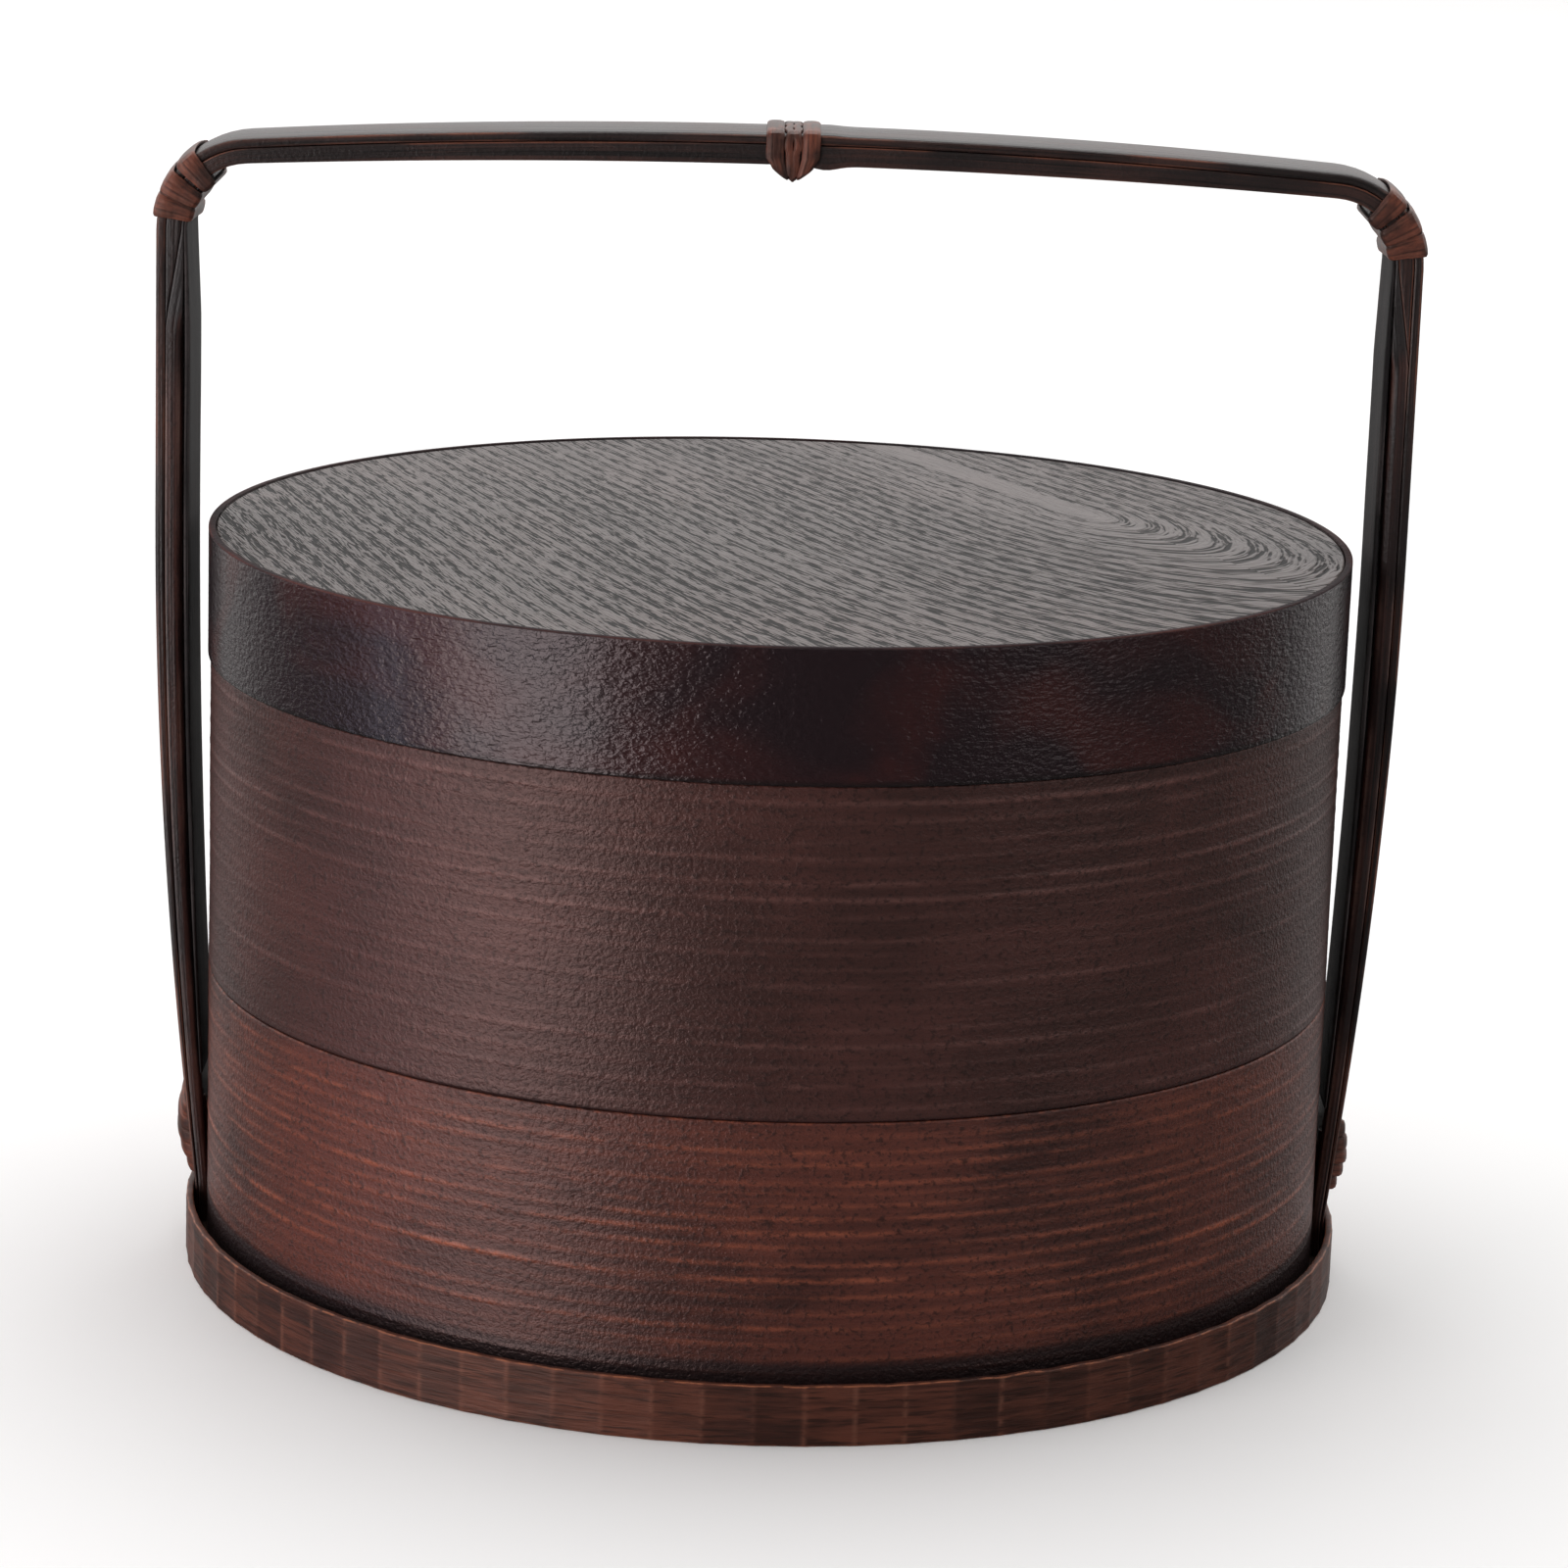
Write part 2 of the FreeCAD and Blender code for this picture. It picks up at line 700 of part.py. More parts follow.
def check_document():
    doc.recompute()
    for item in doc.Objects:
        if "Invalid" in item.State or "Error" in item.State:
            raise RuntimeError("%s failed: %s" % (item.Name, item.State))
    for node in nodes:
        if node.Shape.isNull() or not node.Shape.isValid() or not node.Shape.Solids:
            raise RuntimeError(node.Label + " has no valid solid")


def write_nodes():
    os.makedirs("parts", exist_ok=True)
    for node in nodes:
        node.Shape.exportStep("parts/%s.step" % node.Label)
        box = node.Shape.BoundBox
        print("%-24s solids %d  x %7.2f %7.2f  y %7.2f %7.2f  z %7.2f %7.2f" % (
            node.Label, len(node.Shape.Solids), box.XMin, box.XMax, box.YMin, box.YMax,
            box.ZMin, box.ZMax))


no_turn = FreeCAD.Placement()
half_turn = FreeCAD.Placement(FreeCAD.Vector(0, 0, 0),
                              FreeCAD.Rotation(FreeCAD.Vector(0, 0, 1), 180))

make_base()
make_pins()
make_box("lower_box", board_top, lower_top)
make_box("upper_box", lower_top, upper_top)
make_lid()
make_outer_strip()
make_bar_strip()
make_centre_wrap()
for hand, turn in (("right", no_turn), ("left", half_turn)):
    make_leg_strips(hand, turn)
    make_corner_wrap(hand, turn)
    make_lashing(hand, turn)

check_document()
write_nodes()
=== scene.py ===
import bpy
import bmesh
import math
import random
from mathutils import Matrix, Vector, noise


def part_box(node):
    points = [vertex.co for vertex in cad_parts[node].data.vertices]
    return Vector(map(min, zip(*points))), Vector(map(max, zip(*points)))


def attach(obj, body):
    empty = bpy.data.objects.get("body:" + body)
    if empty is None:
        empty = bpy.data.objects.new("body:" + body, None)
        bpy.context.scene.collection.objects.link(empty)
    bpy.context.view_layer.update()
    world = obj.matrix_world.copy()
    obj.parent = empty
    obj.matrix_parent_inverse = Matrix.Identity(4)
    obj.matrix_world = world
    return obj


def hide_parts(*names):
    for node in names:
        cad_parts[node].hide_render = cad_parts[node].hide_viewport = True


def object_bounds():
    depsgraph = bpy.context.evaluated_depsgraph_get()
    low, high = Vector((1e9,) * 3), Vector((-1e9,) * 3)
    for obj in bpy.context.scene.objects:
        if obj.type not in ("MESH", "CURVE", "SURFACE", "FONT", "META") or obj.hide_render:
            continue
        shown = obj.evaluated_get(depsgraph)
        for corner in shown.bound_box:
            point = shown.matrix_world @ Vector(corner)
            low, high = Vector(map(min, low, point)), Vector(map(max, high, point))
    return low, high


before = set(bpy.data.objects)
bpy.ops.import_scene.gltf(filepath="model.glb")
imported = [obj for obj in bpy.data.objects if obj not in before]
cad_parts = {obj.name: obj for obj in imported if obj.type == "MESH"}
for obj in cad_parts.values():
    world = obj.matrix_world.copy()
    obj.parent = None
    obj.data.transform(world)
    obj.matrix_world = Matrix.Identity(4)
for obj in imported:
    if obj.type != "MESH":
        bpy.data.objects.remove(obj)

cadLow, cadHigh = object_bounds()
mm = 0.001
sharpFrom = math.radians(38)      # edges bent more than this are shaded as creases
print("frame loaded:", len(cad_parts), "nodes")


def plug(tree, item, socket):
    if isinstance(item, Term):
        tree.links.new(item.socket, socket)
    elif isinstance(item, (tuple, list)) and socket.type == "RGBA" and len(item) == 3:
        socket.default_value = (*item, 1.0)
    else:
        socket.default_value = item


class Term:
    # a value, vector or colour inside a node tree; sums on it add Math nodes
    def __init__(self, bench, socket):
        self.bench = bench
        self.socket = socket

    def math(self, operation, *others):
        return self.bench.math(operation, self, *others)

    def __add__(self, other):
        return self.math("ADD", other)

    def __radd__(self, other):
        return self.bench.math("ADD", other, self)

    def __sub__(self, other):
        return self.math("SUBTRACT", other)

    def __rsub__(self, other):
        return self.bench.math("SUBTRACT", other, self)

    def __mul__(self, other):
        return self.math("MULTIPLY", other)

    def __rmul__(self, other):
        return self.bench.math("MULTIPLY", other, self)

    def __truediv__(self, other):
        return self.math("DIVIDE", other)

    def band(self, low, high, bottom=0.0, top=1.0):     # smooth step from bottom to top
        return self.bench.node("ShaderNodeMapRange", {"interpolation_type": "SMOOTHSTEP"},
                               {"Value": self, "From Min": low, "From Max": high,
                                "To Min": bottom, "To Max": top})

    def stretch(self, x, y, z):
        return self.bench.node("ShaderNodeVectorMath", {"operation": "MULTIPLY"},
                               {0: self, 1: (x, y, z)})

    def axis(self, number):
        return self.bench.node("ShaderNodeSeparateXYZ", {}, {"Vector": self}, number)


class Bench:
    # adds nodes to one node tree
    def __init__(self, tree):
        self.tree = tree

    def node(self, kind, settings, inputs, output=0):
        made = self.tree.nodes.new(kind)
        for setting, value in settings.items():
            setattr(made, setting, value)
        for socket, value in inputs.items():
            plug(self.tree, value, made.inputs[socket])
        return Term(self, made.outputs[output])

    def math(self, operation, *items):
        return self.node("ShaderNodeMath", {"operation": operation}, dict(enumerate(items)))


class Finish(Bench):
    # one material; fixed numbers go straight on the shader
    def __init__(self, name, **fixed):
        self.material = bpy.data.materials.new(name)
        self.material.use_nodes = True
        super().__init__(self.material.node_tree)
        self.shader = self.tree.nodes["Principled BSDF"]
        for socket, value in fixed.items():
            plug(self.tree, value, self.shader.inputs[socket.replace("_", " ")])

    def place(self):
        return self.node("ShaderNodeTexCoord", {}, {}, "Object")

    def mark(self, name, output="Fac"):
        return self.node("ShaderNodeAttribute", {"attribute_name": name}, {}, output)

    def cloud(self, where, scale, detail=3.0, rough=0.5, twist=0.0):
        return self.node("ShaderNodeTexNoise", {}, {"Vector": where, "Scale": scale, "Detail": detail,
                                                    "Roughness": rough, "Distortion": twist})

    def mix(self, share, first, second):
        return self.node("ShaderNodeMix", {"data_type": "RGBA"}, {0: share, 6: first, 7: second}, 2)

    def paint(self, colour, roughness=None, relief=None, depth=0.0002, firm=1.0):
        plug(self.tree, colour, self.shader.inputs["Base Color"])
        if roughness is not None:
            plug(self.tree, roughness, self.shader.inputs["Roughness"])
        if relief is not None:
            bump = self.node("ShaderNodeBump", {}, {"Strength": firm, "Distance": depth,
                                                    "Height": relief}, "Normal")
            plug(self.tree, bump, self.shader.inputs["Normal"])
        return self.material


# finishes: colours go from dark to worn, the relief goes to one bump

def boxLacquer(own):
    dark, ridge, darkBandTop = own["dark"], own["ridge"], own["darkBandTop"]
    f = Finish(own["finish"], Specular_IOR_Level=0.62, Specular_Tint=(1.0, 0.70, 0.66))
    where = f.place()
    ridges = f.mark("ridge")
    grain = f.cloud(where.stretch(30, 30, 1150), 1.0, 4.0, 0.6)            # thin level streaks
    patches = f.cloud(where.stretch(18, 18, 26), 1.0, 3.0, 0.55, 0.4)      # rubbed and sooty areas
    specks = f.cloud(where.stretch(900, 900, 1150), 1.0, 2.0, 0.65)        # pits in the lacquer
    broken = f.cloud(where.stretch(60, 60, 260), 1.0, 3.0, 0.6)            # breaks the raised lines
    ragged = f.cloud(where.stretch(420, 420, 900), 1.0, 2.0, 0.6)
    warmth = patches.band(0.36, 0.66) * 0.62 + grain.band(0.35, 0.72) * 0.38
    ground = f.mix(warmth, dark, own["warm"])
    shown = broken.band(0.30, 0.56) * (0.55 + ragged.band(0.40, 0.56) * 0.45)
    lined = f.mix(ridges * shown * own["lines"], ground, ridge)
    worn = f.mix(f.mark("wear") * ragged.band(0.45, 0.6) * 0.5, lined, ridge)
    speckled = f.mix(specks.band(0.50, 0.70) * 0.70, worn, tuple(c * 0.3 for c in dark))
    # darker band just above the hoop, fading out upward
    foot = where.axis(2).band(darkBandTop, darkBandTop + boxLook["darkBandFade"], 1.0, 0.0)
    # painted shade in the seam at each box's foot, joined with the darker band above the hoop
    darkening = f.math("MAXIMUM", foot, f.mark("seam_shade"))
    darkened = f.mix(darkening * 0.9, speckled, (0.0075, 0.0065, 0.008))
    relief = specks * 1.1 + grain * 0.3 + ridges * 0.3
    return f.paint(darkened, 0.38 - ridges * 0.10 + specks.band(0.3, 0.8) * 0.14, relief, 0.00032, 0.8)


def lidLacquer(topAt):
    f = Finish("lid_lacquer", Specular_IOR_Level=0.5, Coat_Weight=0.12, Coat_Roughness=0.14,
               Specular_Tint=(1.0, 0.86, 0.88))
    where = f.place()
    patches = f.cloud(where.stretch(24, 24, 34), 1.0, 3.0, 0.5, 0.6)
    peel = f.cloud(where.stretch(640, 640, 1150), 1.0, 2.0, 0.55, 0.3)     # leathery lacquer skin
    fine = f.cloud(where.stretch(240, 240, 1300), 1.0, 2.0, 0.5)
    edge = f.mark("wear")
    rubbed = where.axis(2).band(topAt - 0.45 * mm, topAt - 0.15 * mm)      # dull top edge
    ground = f.mix(patches.band(0.40, 0.62), (0.0105, 0.0050, 0.0066), (0.030, 0.0060, 0.0055))
    worn = f.mix(edge * patches.band(0.3, 0.6) * 0.7, ground, (0.085, 0.022, 0.016))
    # painted shade in the rim's seams
    darkened = f.mix(f.mark("seam_shade") * 0.95, worn, (0.005, 0.004, 0.004))
    relief = peel * 1.0 + fine * 0.5
    plug(f.tree, 0.12 - rubbed * 0.12, f.shader.inputs["Coat Weight"])
    return f.paint(darkened, 0.24 + patches * 0.08 + rubbed * 0.66, relief, 0.00048, 0.8)


def panelWood(settings):
    f = Finish("panel_wood", Specular_IOR_Level=0.5)
    x, y = settings["figureAt"]
    turned = f.node("ShaderNodeVectorRotate", {"rotation_type": "Z_AXIS"},
                    {"Vector": f.place(), "Center": (x, y, 0.0),
                     "Angle": math.radians(-settings["grainTurn"])})
    along = turned.axis(0) - x
    straight = turned.axis(1) - y
    across = straight * (1.0 + along * settings["fan"])
    # growth rings lie nearly straight and close round the tip of the figure
    past = (along + settings["figureReach"]).math("MAXIMUM", 0.0)
    sway = f.cloud(turned.stretch(12, 45, 1), 1.0, 2.0, 0.5) - 0.5
    apart = (across * across + past * past * settings["figureBlunt"]).math("SQRT") + sway * settings["sway"]
    ringAt = apart / settings["ringPitch"]
    ring = ringAt.math("FRACT")
    outside = ringAt.band(0.5, 1.3)
    early = ring.band(0.0, 0.3) * ring.band(0.45, 0.95, 1.0, 0.0) * outside
    quiet = apart.band(0.004, 0.030, 0.955, 1.0)
    laid = f.node("ShaderNodeCombineXYZ", {}, {0: along, 1: apart, 2: straight.math("SIGN")})
    streaks = f.cloud(laid.stretch(120, 1500, 40), 1.0, 1.0, 0.5)         # long open pores
    flecks = f.cloud(laid.stretch(280, 2300, 40), 1.0, 1.0, 0.5)          # short ones
    bare = f.cloud(turned.stretch(10, 26, 1), 1.0, 2.0, 0.5).band(0.35, 0.65, 0.95, 1.02)
    dashes = (streaks * 0.62 + flecks * 0.38 + early * 0.13) * outside.band(0, 1, 0.86, 1.0) * bare * quiet
    pores = dashes.band(0.550, 0.670)
    tone = f.cloud(turned.stretch(14, 150, 1), 1.0, 3.0, 0.5)
    ground = f.mix(tone.band(0.3, 0.7), settings["dark"], settings["pale"])
    warmed = f.mix(f.cloud(f.place(), 26, 2.0).band(0.5, 0.7) * 0.3, ground, settings["blush"])
    pored = f.mix(pores * 0.97, warmed, settings["pore"])
    rubbed = f.mix(f.mark("wear") * 0.5, pored, settings["rubbed"])
    relief = pores * -1.0 - dashes.band(0.40, 0.56) * 0.45
    return f.paint(rubbed, 0.52 + pores * 0.3, relief, 0.00050, 1.0)


def insideLacquer():
    f = Finish("inside_lacquer", Specular_IOR_Level=0.45)
    where = f.place()
    grain = f.cloud(where.stretch(30, 30, 700), 1.0, 3.0, 0.55)
    peel = f.cloud(where, 700, 2.0)
    ground = f.mix(grain.band(0.35, 0.7), (0.010, 0.0055, 0.005), (0.024, 0.009, 0.007))
    return f.paint(ground, 0.36 + peel * 0.12, peel * 0.7 + grain * 0.3, 0.00015, 0.6)


def baseWood():
    f = Finish("base_wood", Specular_IOR_Level=0.4)
    where = f.place()
    grain = f.cloud(where.stretch(12, 420, 300), 1.0, 4.0, 0.6)
    ground = f.mix(grain.band(0.35, 0.7), (0.016, 0.009, 0.007), (0.045, 0.021, 0.014))
    return f.paint(ground, 0.55 + grain * 0.2, grain, 0.0002, 0.6)


def hoopBamboo():
    f = Finish("hoop_bamboo", Specular_IOR_Level=0.5, Specular_Tint=(1.0, 0.62, 0.52))
    where = f.place()
    fibre = f.cloud(where.stretch(110, 110, 1500), 1.0, 3.0, 0.6)
    bands = f.cloud(where.stretch(44, 44, 520), 1.0, 3.0, 0.6, 0.3)       # tool marks along the hoop
    patch = f.cloud(where.stretch(40, 40, 40), 1.0, 2.0, 0.5)
    ragged = f.cloud(where.stretch(300, 300, 500), 1.0, 2.0, 0.6)
    tone = f.mark("tone")
    ground = f.mix((bands * 0.48 + patch * 0.38 + tone * 0.14).band(0.36, 0.60),
                   (0.024, 0.0085, 0.0068), (0.084, 0.0250, 0.0150))
    fibred = f.mix(fibre.band(0.48, 0.66) * 0.8, ground, (0.013, 0.006, 0.005))
    edged = f.mix(f.mark("ridge") * ragged.band(0.34, 0.6) * 0.8, fibred, (0.135, 0.050, 0.032))
    worn = f.mix(f.mark("wear") * ragged.band(0.38, 0.58) * 0.9, edged, (0.26, 0.085, 0.038))
    # painted seam shade; the hoop section has none, so the colour stays as it is
    seamShaded = f.mix(f.mark("seam_shade"), worn, (0.010, 0.006, 0.005))
    return f.paint(seamShaded, 0.44 + fibre * 0.14, fibre * 0.9 + bands * 0.7 + ragged * 0.3, 0.00028, 0.9)


def stripBamboo(name):
    own = stripLooks[name]
    dark, shine = own["dark"], own["shine"]
    f = Finish(name, Specular_IOR_Level=shine)
    laid = f.mark("laid", "Vector")            # metres along, across and into the strip
    height = f.place().axis(2)
    fibre = f.cloud(laid.stretch(18, 1500, 1900), 1.0, 3.0, 0.6)
    bundles = f.cloud(laid.stretch(9, 420, 1100), 1.0, 3.0, 0.6)
    patch = f.cloud(laid.stretch(30, 60, 60), 1.0, 3.0, 0.55)
    specks = f.cloud(f.place(), 1300, 2.0)
    ground = f.mix((bundles * 0.5 + patch * 0.5).band(0.42, 0.62), dark, own["warm"])
    fibred = f.mix(fibre.band(0.50, 0.66) * 0.85, ground, tuple(c * 0.22 for c in dark))
    worn = f.mix(f.mark("wear").band(0.45, 1.0) * patch.band(0.42, 0.62) * 0.65, fibred, own["edge"])
    # darker above these heights, by each strip's share
    darkening = height.band(stripLooks["darkFrom"], stripLooks["darkTo"]) * own["darkening"]
    darkened = f.mix(darkening, worn, (0.018, 0.015, 0.0155))
    final = f.mix(specks.band(0.52, 0.75) * 0.5, darkened, (0.006, 0.005, 0.005))
    rough = 0.62 - shine * 0.56 + patch * 0.16
    return f.paint(final, rough, fibre * 0.8 + bundles * 0.6 + specks * 0.5, 0.00026, 0.9)


def caneFinish():
    f = Finish("cane", Specular_IOR_Level=0.5, Specular_Tint=(1.0, 0.75, 0.68))
    laid = f.mark("laid", "Vector")
    fibre = f.cloud(laid.stretch(60, 2600, 2600), 1.0, 2.0, 0.5)
    patch = f.cloud(laid.stretch(110, 420, 420), 1.0, 4.0, 0.65)
    stain = f.cloud(f.place(), 170, 2.0)
    specks = f.cloud(f.place(), 1100, 2.0)
    ground = f.mix(patch.band(0.36, 0.66), (0.022, 0.0095, 0.008), (0.150, 0.042, 0.024))
    stained = f.mix(stain.band(0.44, 0.62) * 0.75, ground, (0.016, 0.009, 0.0085))
    fibred = f.mix(fibre.band(0.48, 0.70) * 0.75, stained, (0.013, 0.006, 0.005))
    worn = f.mix(f.mark("wear") * specks.band(0.4, 0.6) * 0.5, fibred, (0.22, 0.085, 0.050))
    return f.paint(worn, 0.36 + patch * 0.2, fibre * 0.8 + patch * 0.6 + specks * 0.5, 0.0002, 0.8)


def pinBamboo():
    f = Finish("pin_bamboo", Specular_IOR_Level=0.4)
    specks = f.cloud(f.place(), 2600, 2.0)
    ground = f.mix(specks.band(0.4, 0.65), (0.10, 0.046, 0.024), (0.026, 0.012, 0.008))
    return f.paint(ground, 0.55 + specks * 0.15, specks, 0.0001, 0.6)


def buildMesh(name, verts, faces, marks, laid=None):
    mesh = bpy.data.meshes.new(name)
    mesh.from_pydata(verts, [], faces)
    for label, values in marks.items():
        layer = mesh.attributes.new(label, "FLOAT", "POINT")
        layer.data.foreach_set("value", values)
    if laid:
        layer = mesh.attributes.new("laid", "FLOAT_VECTOR", "POINT")
        layer.data.foreach_set("vector", [c for point in laid for c in point])
    mesh.validate()
    work = bmesh.new()
    work.from_mesh(mesh)
    bmesh.ops.recalc_face_normals(work, faces=work.faces)
    work.to_mesh(mesh)
    work.free()
    mesh.polygons.foreach_set("use_smooth", [True] * len(mesh.polygons))
    mesh.set_sharp_from_angle(angle=sharpFrom)
    piece = bpy.data.objects.new(name, mesh)
    bpy.context.scene.collection.objects.link(piece)
    return piece


def dress(piece, material, body, slot, *nodes):
    piece.data.materials.clear()
    piece.data.materials.append(material)
    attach(piece, body)
    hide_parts(*nodes)


def turnOnLathe(name, section, segments, shape=None, capped=False):
    # section rows are (radius, height, wear), wear below nought is painted shade in a seam;
    # shape moves a point and gives its ridge and tone
    verts, faces = [], []
    marks = {"ridge": [], "tone": [], "wear": [], "seam_shade": []}
    count = len(section)

    def addPoint(point, raised, tone, worn):
        verts.append(point)
        # the seam mark is painted shade, taken from wear below nought
        for label, value in (("ridge", raised), ("tone", tone), ("wear", max(0.0, worn)),
                             ("seam_shade", max(0.0, -worn))):
            marks[label].append(value)

    for s in range(segments):
        angle = 2 * math.pi * s / segments
        for radius, height, worn in section:
            raised, tone = 0.0, 0.5
            if shape:
                radius, height, raised, tone = shape(radius, height, angle)
            addPoint((radius * math.sin(angle), -radius * math.cos(angle), height), raised, tone, worn)
    last = count - 1 if capped else count
    for s in range(segments):
        here, there = s * count, (s + 1) % segments * count
        for r in range(last):
            n = (r + 1) % count
            faces.append((here + r, there + r, there + n, here + n))
    if capped:
        for r in (0, count - 1):
            middle = len(verts)
            addPoint((0, 0, section[r][1]), 0.0, 0.5, 0.0)
            for s in range(segments):
                faces.append((s * count + r, (s + 1) % segments * count + r, middle))
    return buildMesh(name, verts, faces, marks)


def sweepRings(name, rings, marks, laid, closed=False):
    # rings of equal size joined one to the next; open ends are closed with a face
    count = len(rings[0])
    verts = [point for ring in rings for point in ring]
    faces = []
    steps = len(rings) if closed else len(rings) - 1
    for k in range(steps):
        here, there = k * count, (k + 1) % len(rings) * count
        for r in range(count):
            n = (r + 1) % count
            faces.append((here + r, here + n, there + n, there + r))
    if not closed:
        faces.append(tuple(range(count)))
        faces.append(tuple((len(rings) - 1) * count + r for r in range(count)))
    return buildMesh(name, verts, faces, marks, laid)


def quarter(cx, cy, radius, start, steps, worn):
    # a rounded corner of a section, counted anticlockwise from start degrees
    rows = []
    for k in range(steps + 1):
        a = math.radians(start + 90 * k / steps)
        rows.append((cx + radius * math.cos(a), cy + radius * math.sin(a),
                     worn * math.sin(math.pi * k / steps)))
    return rows


def between(low, high, steps):
    return [low + (high - low) * k / steps for k in range(1, steps)]


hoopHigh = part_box("base_hoop")[1].z
boxLook = {"segments": 288, "lineWidth": 0.52 * mm, "lineRise": 0.11 * mm, "firstLine": 2.4 * mm,
           "lastLine": 2 * mm, "wall": 2.6 * mm, "edge": 0.55 * mm, "footRound": 0.8 * mm,
           "ringStep": 0.42 * mm, "wander": 0.5 * mm, "swell": 0.10 * mm, "darkBandFade": 3.5 * mm}
boxes = {
    "upper_box_wall": {"seed": 11, "linePitch": 3.9 * mm, "finish": "upper_lacquer",
                       "dark": (0.026, 0.0100, 0.0085), "warm": (0.056, 0.0180, 0.0148),
                       "ridge": (0.150, 0.066, 0.057), "lines": 0.62, "darkBandTop": -1.0},
    "lower_box_wall": {"seed": 23, "linePitch": 3.1 * mm, "finish": "lower_lacquer",
                       "dark": (0.026, 0.0090, 0.0075), "warm": (0.098, 0.0240, 0.0150),
                       "ridge": (0.300, 0.075, 0.034), "lines": 1.0, "darkBandTop": hoopHigh + 1.5 * mm},
}


def boxWall(node, own):
    low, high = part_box(node)
    look, edge, foot = boxLook, boxLook["edge"], boxLook["footRound"]
    outside = high.x
    inside = outside - look["wall"]
    dice = random.Random(own["seed"])
    lines, height = [], low.z + look["firstLine"]
    while height < high.z - look["lastLine"]:
        lines.append((height, dice.uniform(0.3, 1.0), dice.uniform(0, 60)))
        height += own["linePitch"] * dice.uniform(0.72, 1.22)

    def shape(radius, height, angle):
        if radius < outside - edge * 0.3:
            return radius, height, 0.0, 0.5
        raised = 0.0
        x, y = math.sin(angle), math.cos(angle)
        for at, strength, offset in lines:
            drift = noise.noise(Vector((x * 1.1, y * 1.1, offset))) * look["wander"]
            gap = (height - at - drift) / look["lineWidth"]
            if abs(gap) < 2.2:
                fade = min(1.0, max(0.0, 0.5 + 0.9 * noise.noise(Vector((x * 3.1, y * 3.1, offset + 9)))))
                raised = max(raised, strength * (0.2 + 0.8 * fade) * math.exp(-gap * gap))
        swell = noise.noise(Vector((x * 2, y * 2, height * 40))) * look["swell"]
        return radius + raised * look["lineRise"] + swell, height, raised, 0.5

    steps = int((high.z - low.z - 2 * edge) / look["ringStep"])
    section = [(outside, z, 0.0) for z in between(low.z + foot, high.z - edge, steps)]
    section += quarter(outside - edge, high.z - edge, edge, 0, 4, 0.8)
    section += quarter(inside + edge, high.z - edge, edge, 90, 3, 0.3)
    section += [(inside, z, 0.0) for z in reversed(between(low.z + edge, high.z - edge, 8))]
    section += quarter(inside + edge, low.z + edge, edge, 180, 3, 0.0)
    section += [(r, z, -0.2 - 0.8 * (1 - k / 5)) for k, (r, z, _) in      # painted shade in the seam at the foot
                enumerate(quarter(outside - foot, low.z + foot, foot, 270, 5, 1.0))]
    piece = turnOnLathe(node + "_lacquered", section, look["segments"], shape)
    dress(piece, boxLacquer(own), node.replace("_wall", ""), "box_lacquer", node)


for wall, own in boxes.items():
    boxWall(wall, own)
print("box walls turned")


lidLook = {"segments": 320, "edge": 0.35 * mm, "wave": 0.10 * mm, "rim": 1.5 * mm, "rimInner": 0.25 * mm,
           "rimFoot": 0.3 * mm, "panelEdge": 0.45 * mm, "panelFoot": 0.6 * mm}
panelLook = {"grainTurn": -62.0, "figureAt": (72 * mm, 22 * mm), "figureReach": 16 * mm,
             "figureBlunt": 0.16, "fan": -1.1, "ringPitch": 4.4 * mm, "sway": 3.5 * mm,
             "dark": (0.084, 0.067, 0.064), "pale": (0.110, 0.088, 0.084), "blush": (0.125, 0.090, 0.083),
             "pore": (0.005, 0.004, 0.004), "rubbed": (0.10, 0.06, 0.05)}


def lidRim():
    low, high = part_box("lid_rim")
    outside, inside, edge = high.x, high.x - lidLook["rim"], lidLook["edge"]
    inner, foot = lidLook["rimInner"], lidLook["rimFoot"]

    def shape(radius, height, angle):
        sway = noise.noise(Vector((math.sin(angle) * 1.6, math.cos(angle) * 1.6, height * 25)))
        return radius + sway * lidLook["wave"], height, 0.0, 0.5

    section = [(outside, z, 0.0) for z in between(low.z + edge, high.z - edge, 24)]
    section += quarter(outside - edge, high.z - edge, edge, 0, 5, 1.0)
    # painted shade in the groove between rim and panel
    section += [(r, z, -0.6) for r, z, _ in quarter(inside + inner, high.z - inner, inner, 90, 3, 0.5)]
    section += [(inside, z, 0.0) for z in reversed(between(low.z + edge, high.z - edge, 8))]
    section += quarter(inside + foot, low.z + foot, foot, 180, 3, 0.0)
    # painted shade in the joint with the upper box
    section += [(r, z, -0.9) for r, z, _ in quarter(outside - edge, low.z + edge, edge, 270, 4, 1.0)]
    piece = turnOnLathe("lid_rim_lacquered", section, lidLook["segments"], shape)
    dress(piece, lidLacquer(high.z), "lid", "lid_lacquer", "lid_rim")


def lidPanel():
    low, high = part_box("lid_panel")
    edge = lidLook["panelEdge"]
    section = [(r * high.x, low.z, 0.0) for r in (0.02, 0.2, 0.4, 0.6, 0.8, 0.97)]
    section += [(high.x, low.z, 0.0), (high.x, low.z + lidLook["panelFoot"], 0.0)]
    section += quarter(high.x - edge, high.z - edge, edge, 0, 4, 0.7)
    rings = (0.99, 0.97, 0.9, 0.8, 0.7, 0.6, 0.5, 0.4, 0.3, 0.2, 0.1, 0.02)
    section += [(r * high.x, high.z, 0.0) for r in rings]
    piece = turnOnLathe("lid_panel_wood", section, lidLook["segments"], None, True)
    dress(piece, panelWood(panelLook), "lid", "panel_wood", "lid_panel")


lidRim()
lidPanel()
print("lid made")


hoopLook = {"facets": 78, "perFacet": 12, "facetDip": 0.22 * mm, "edge": 0.35 * mm, "wobble": 0.45 * mm,
            "wall": 1.6 * mm, "shave": 0.12 * mm, "ridgeShare": 0.09, "seed": 5}


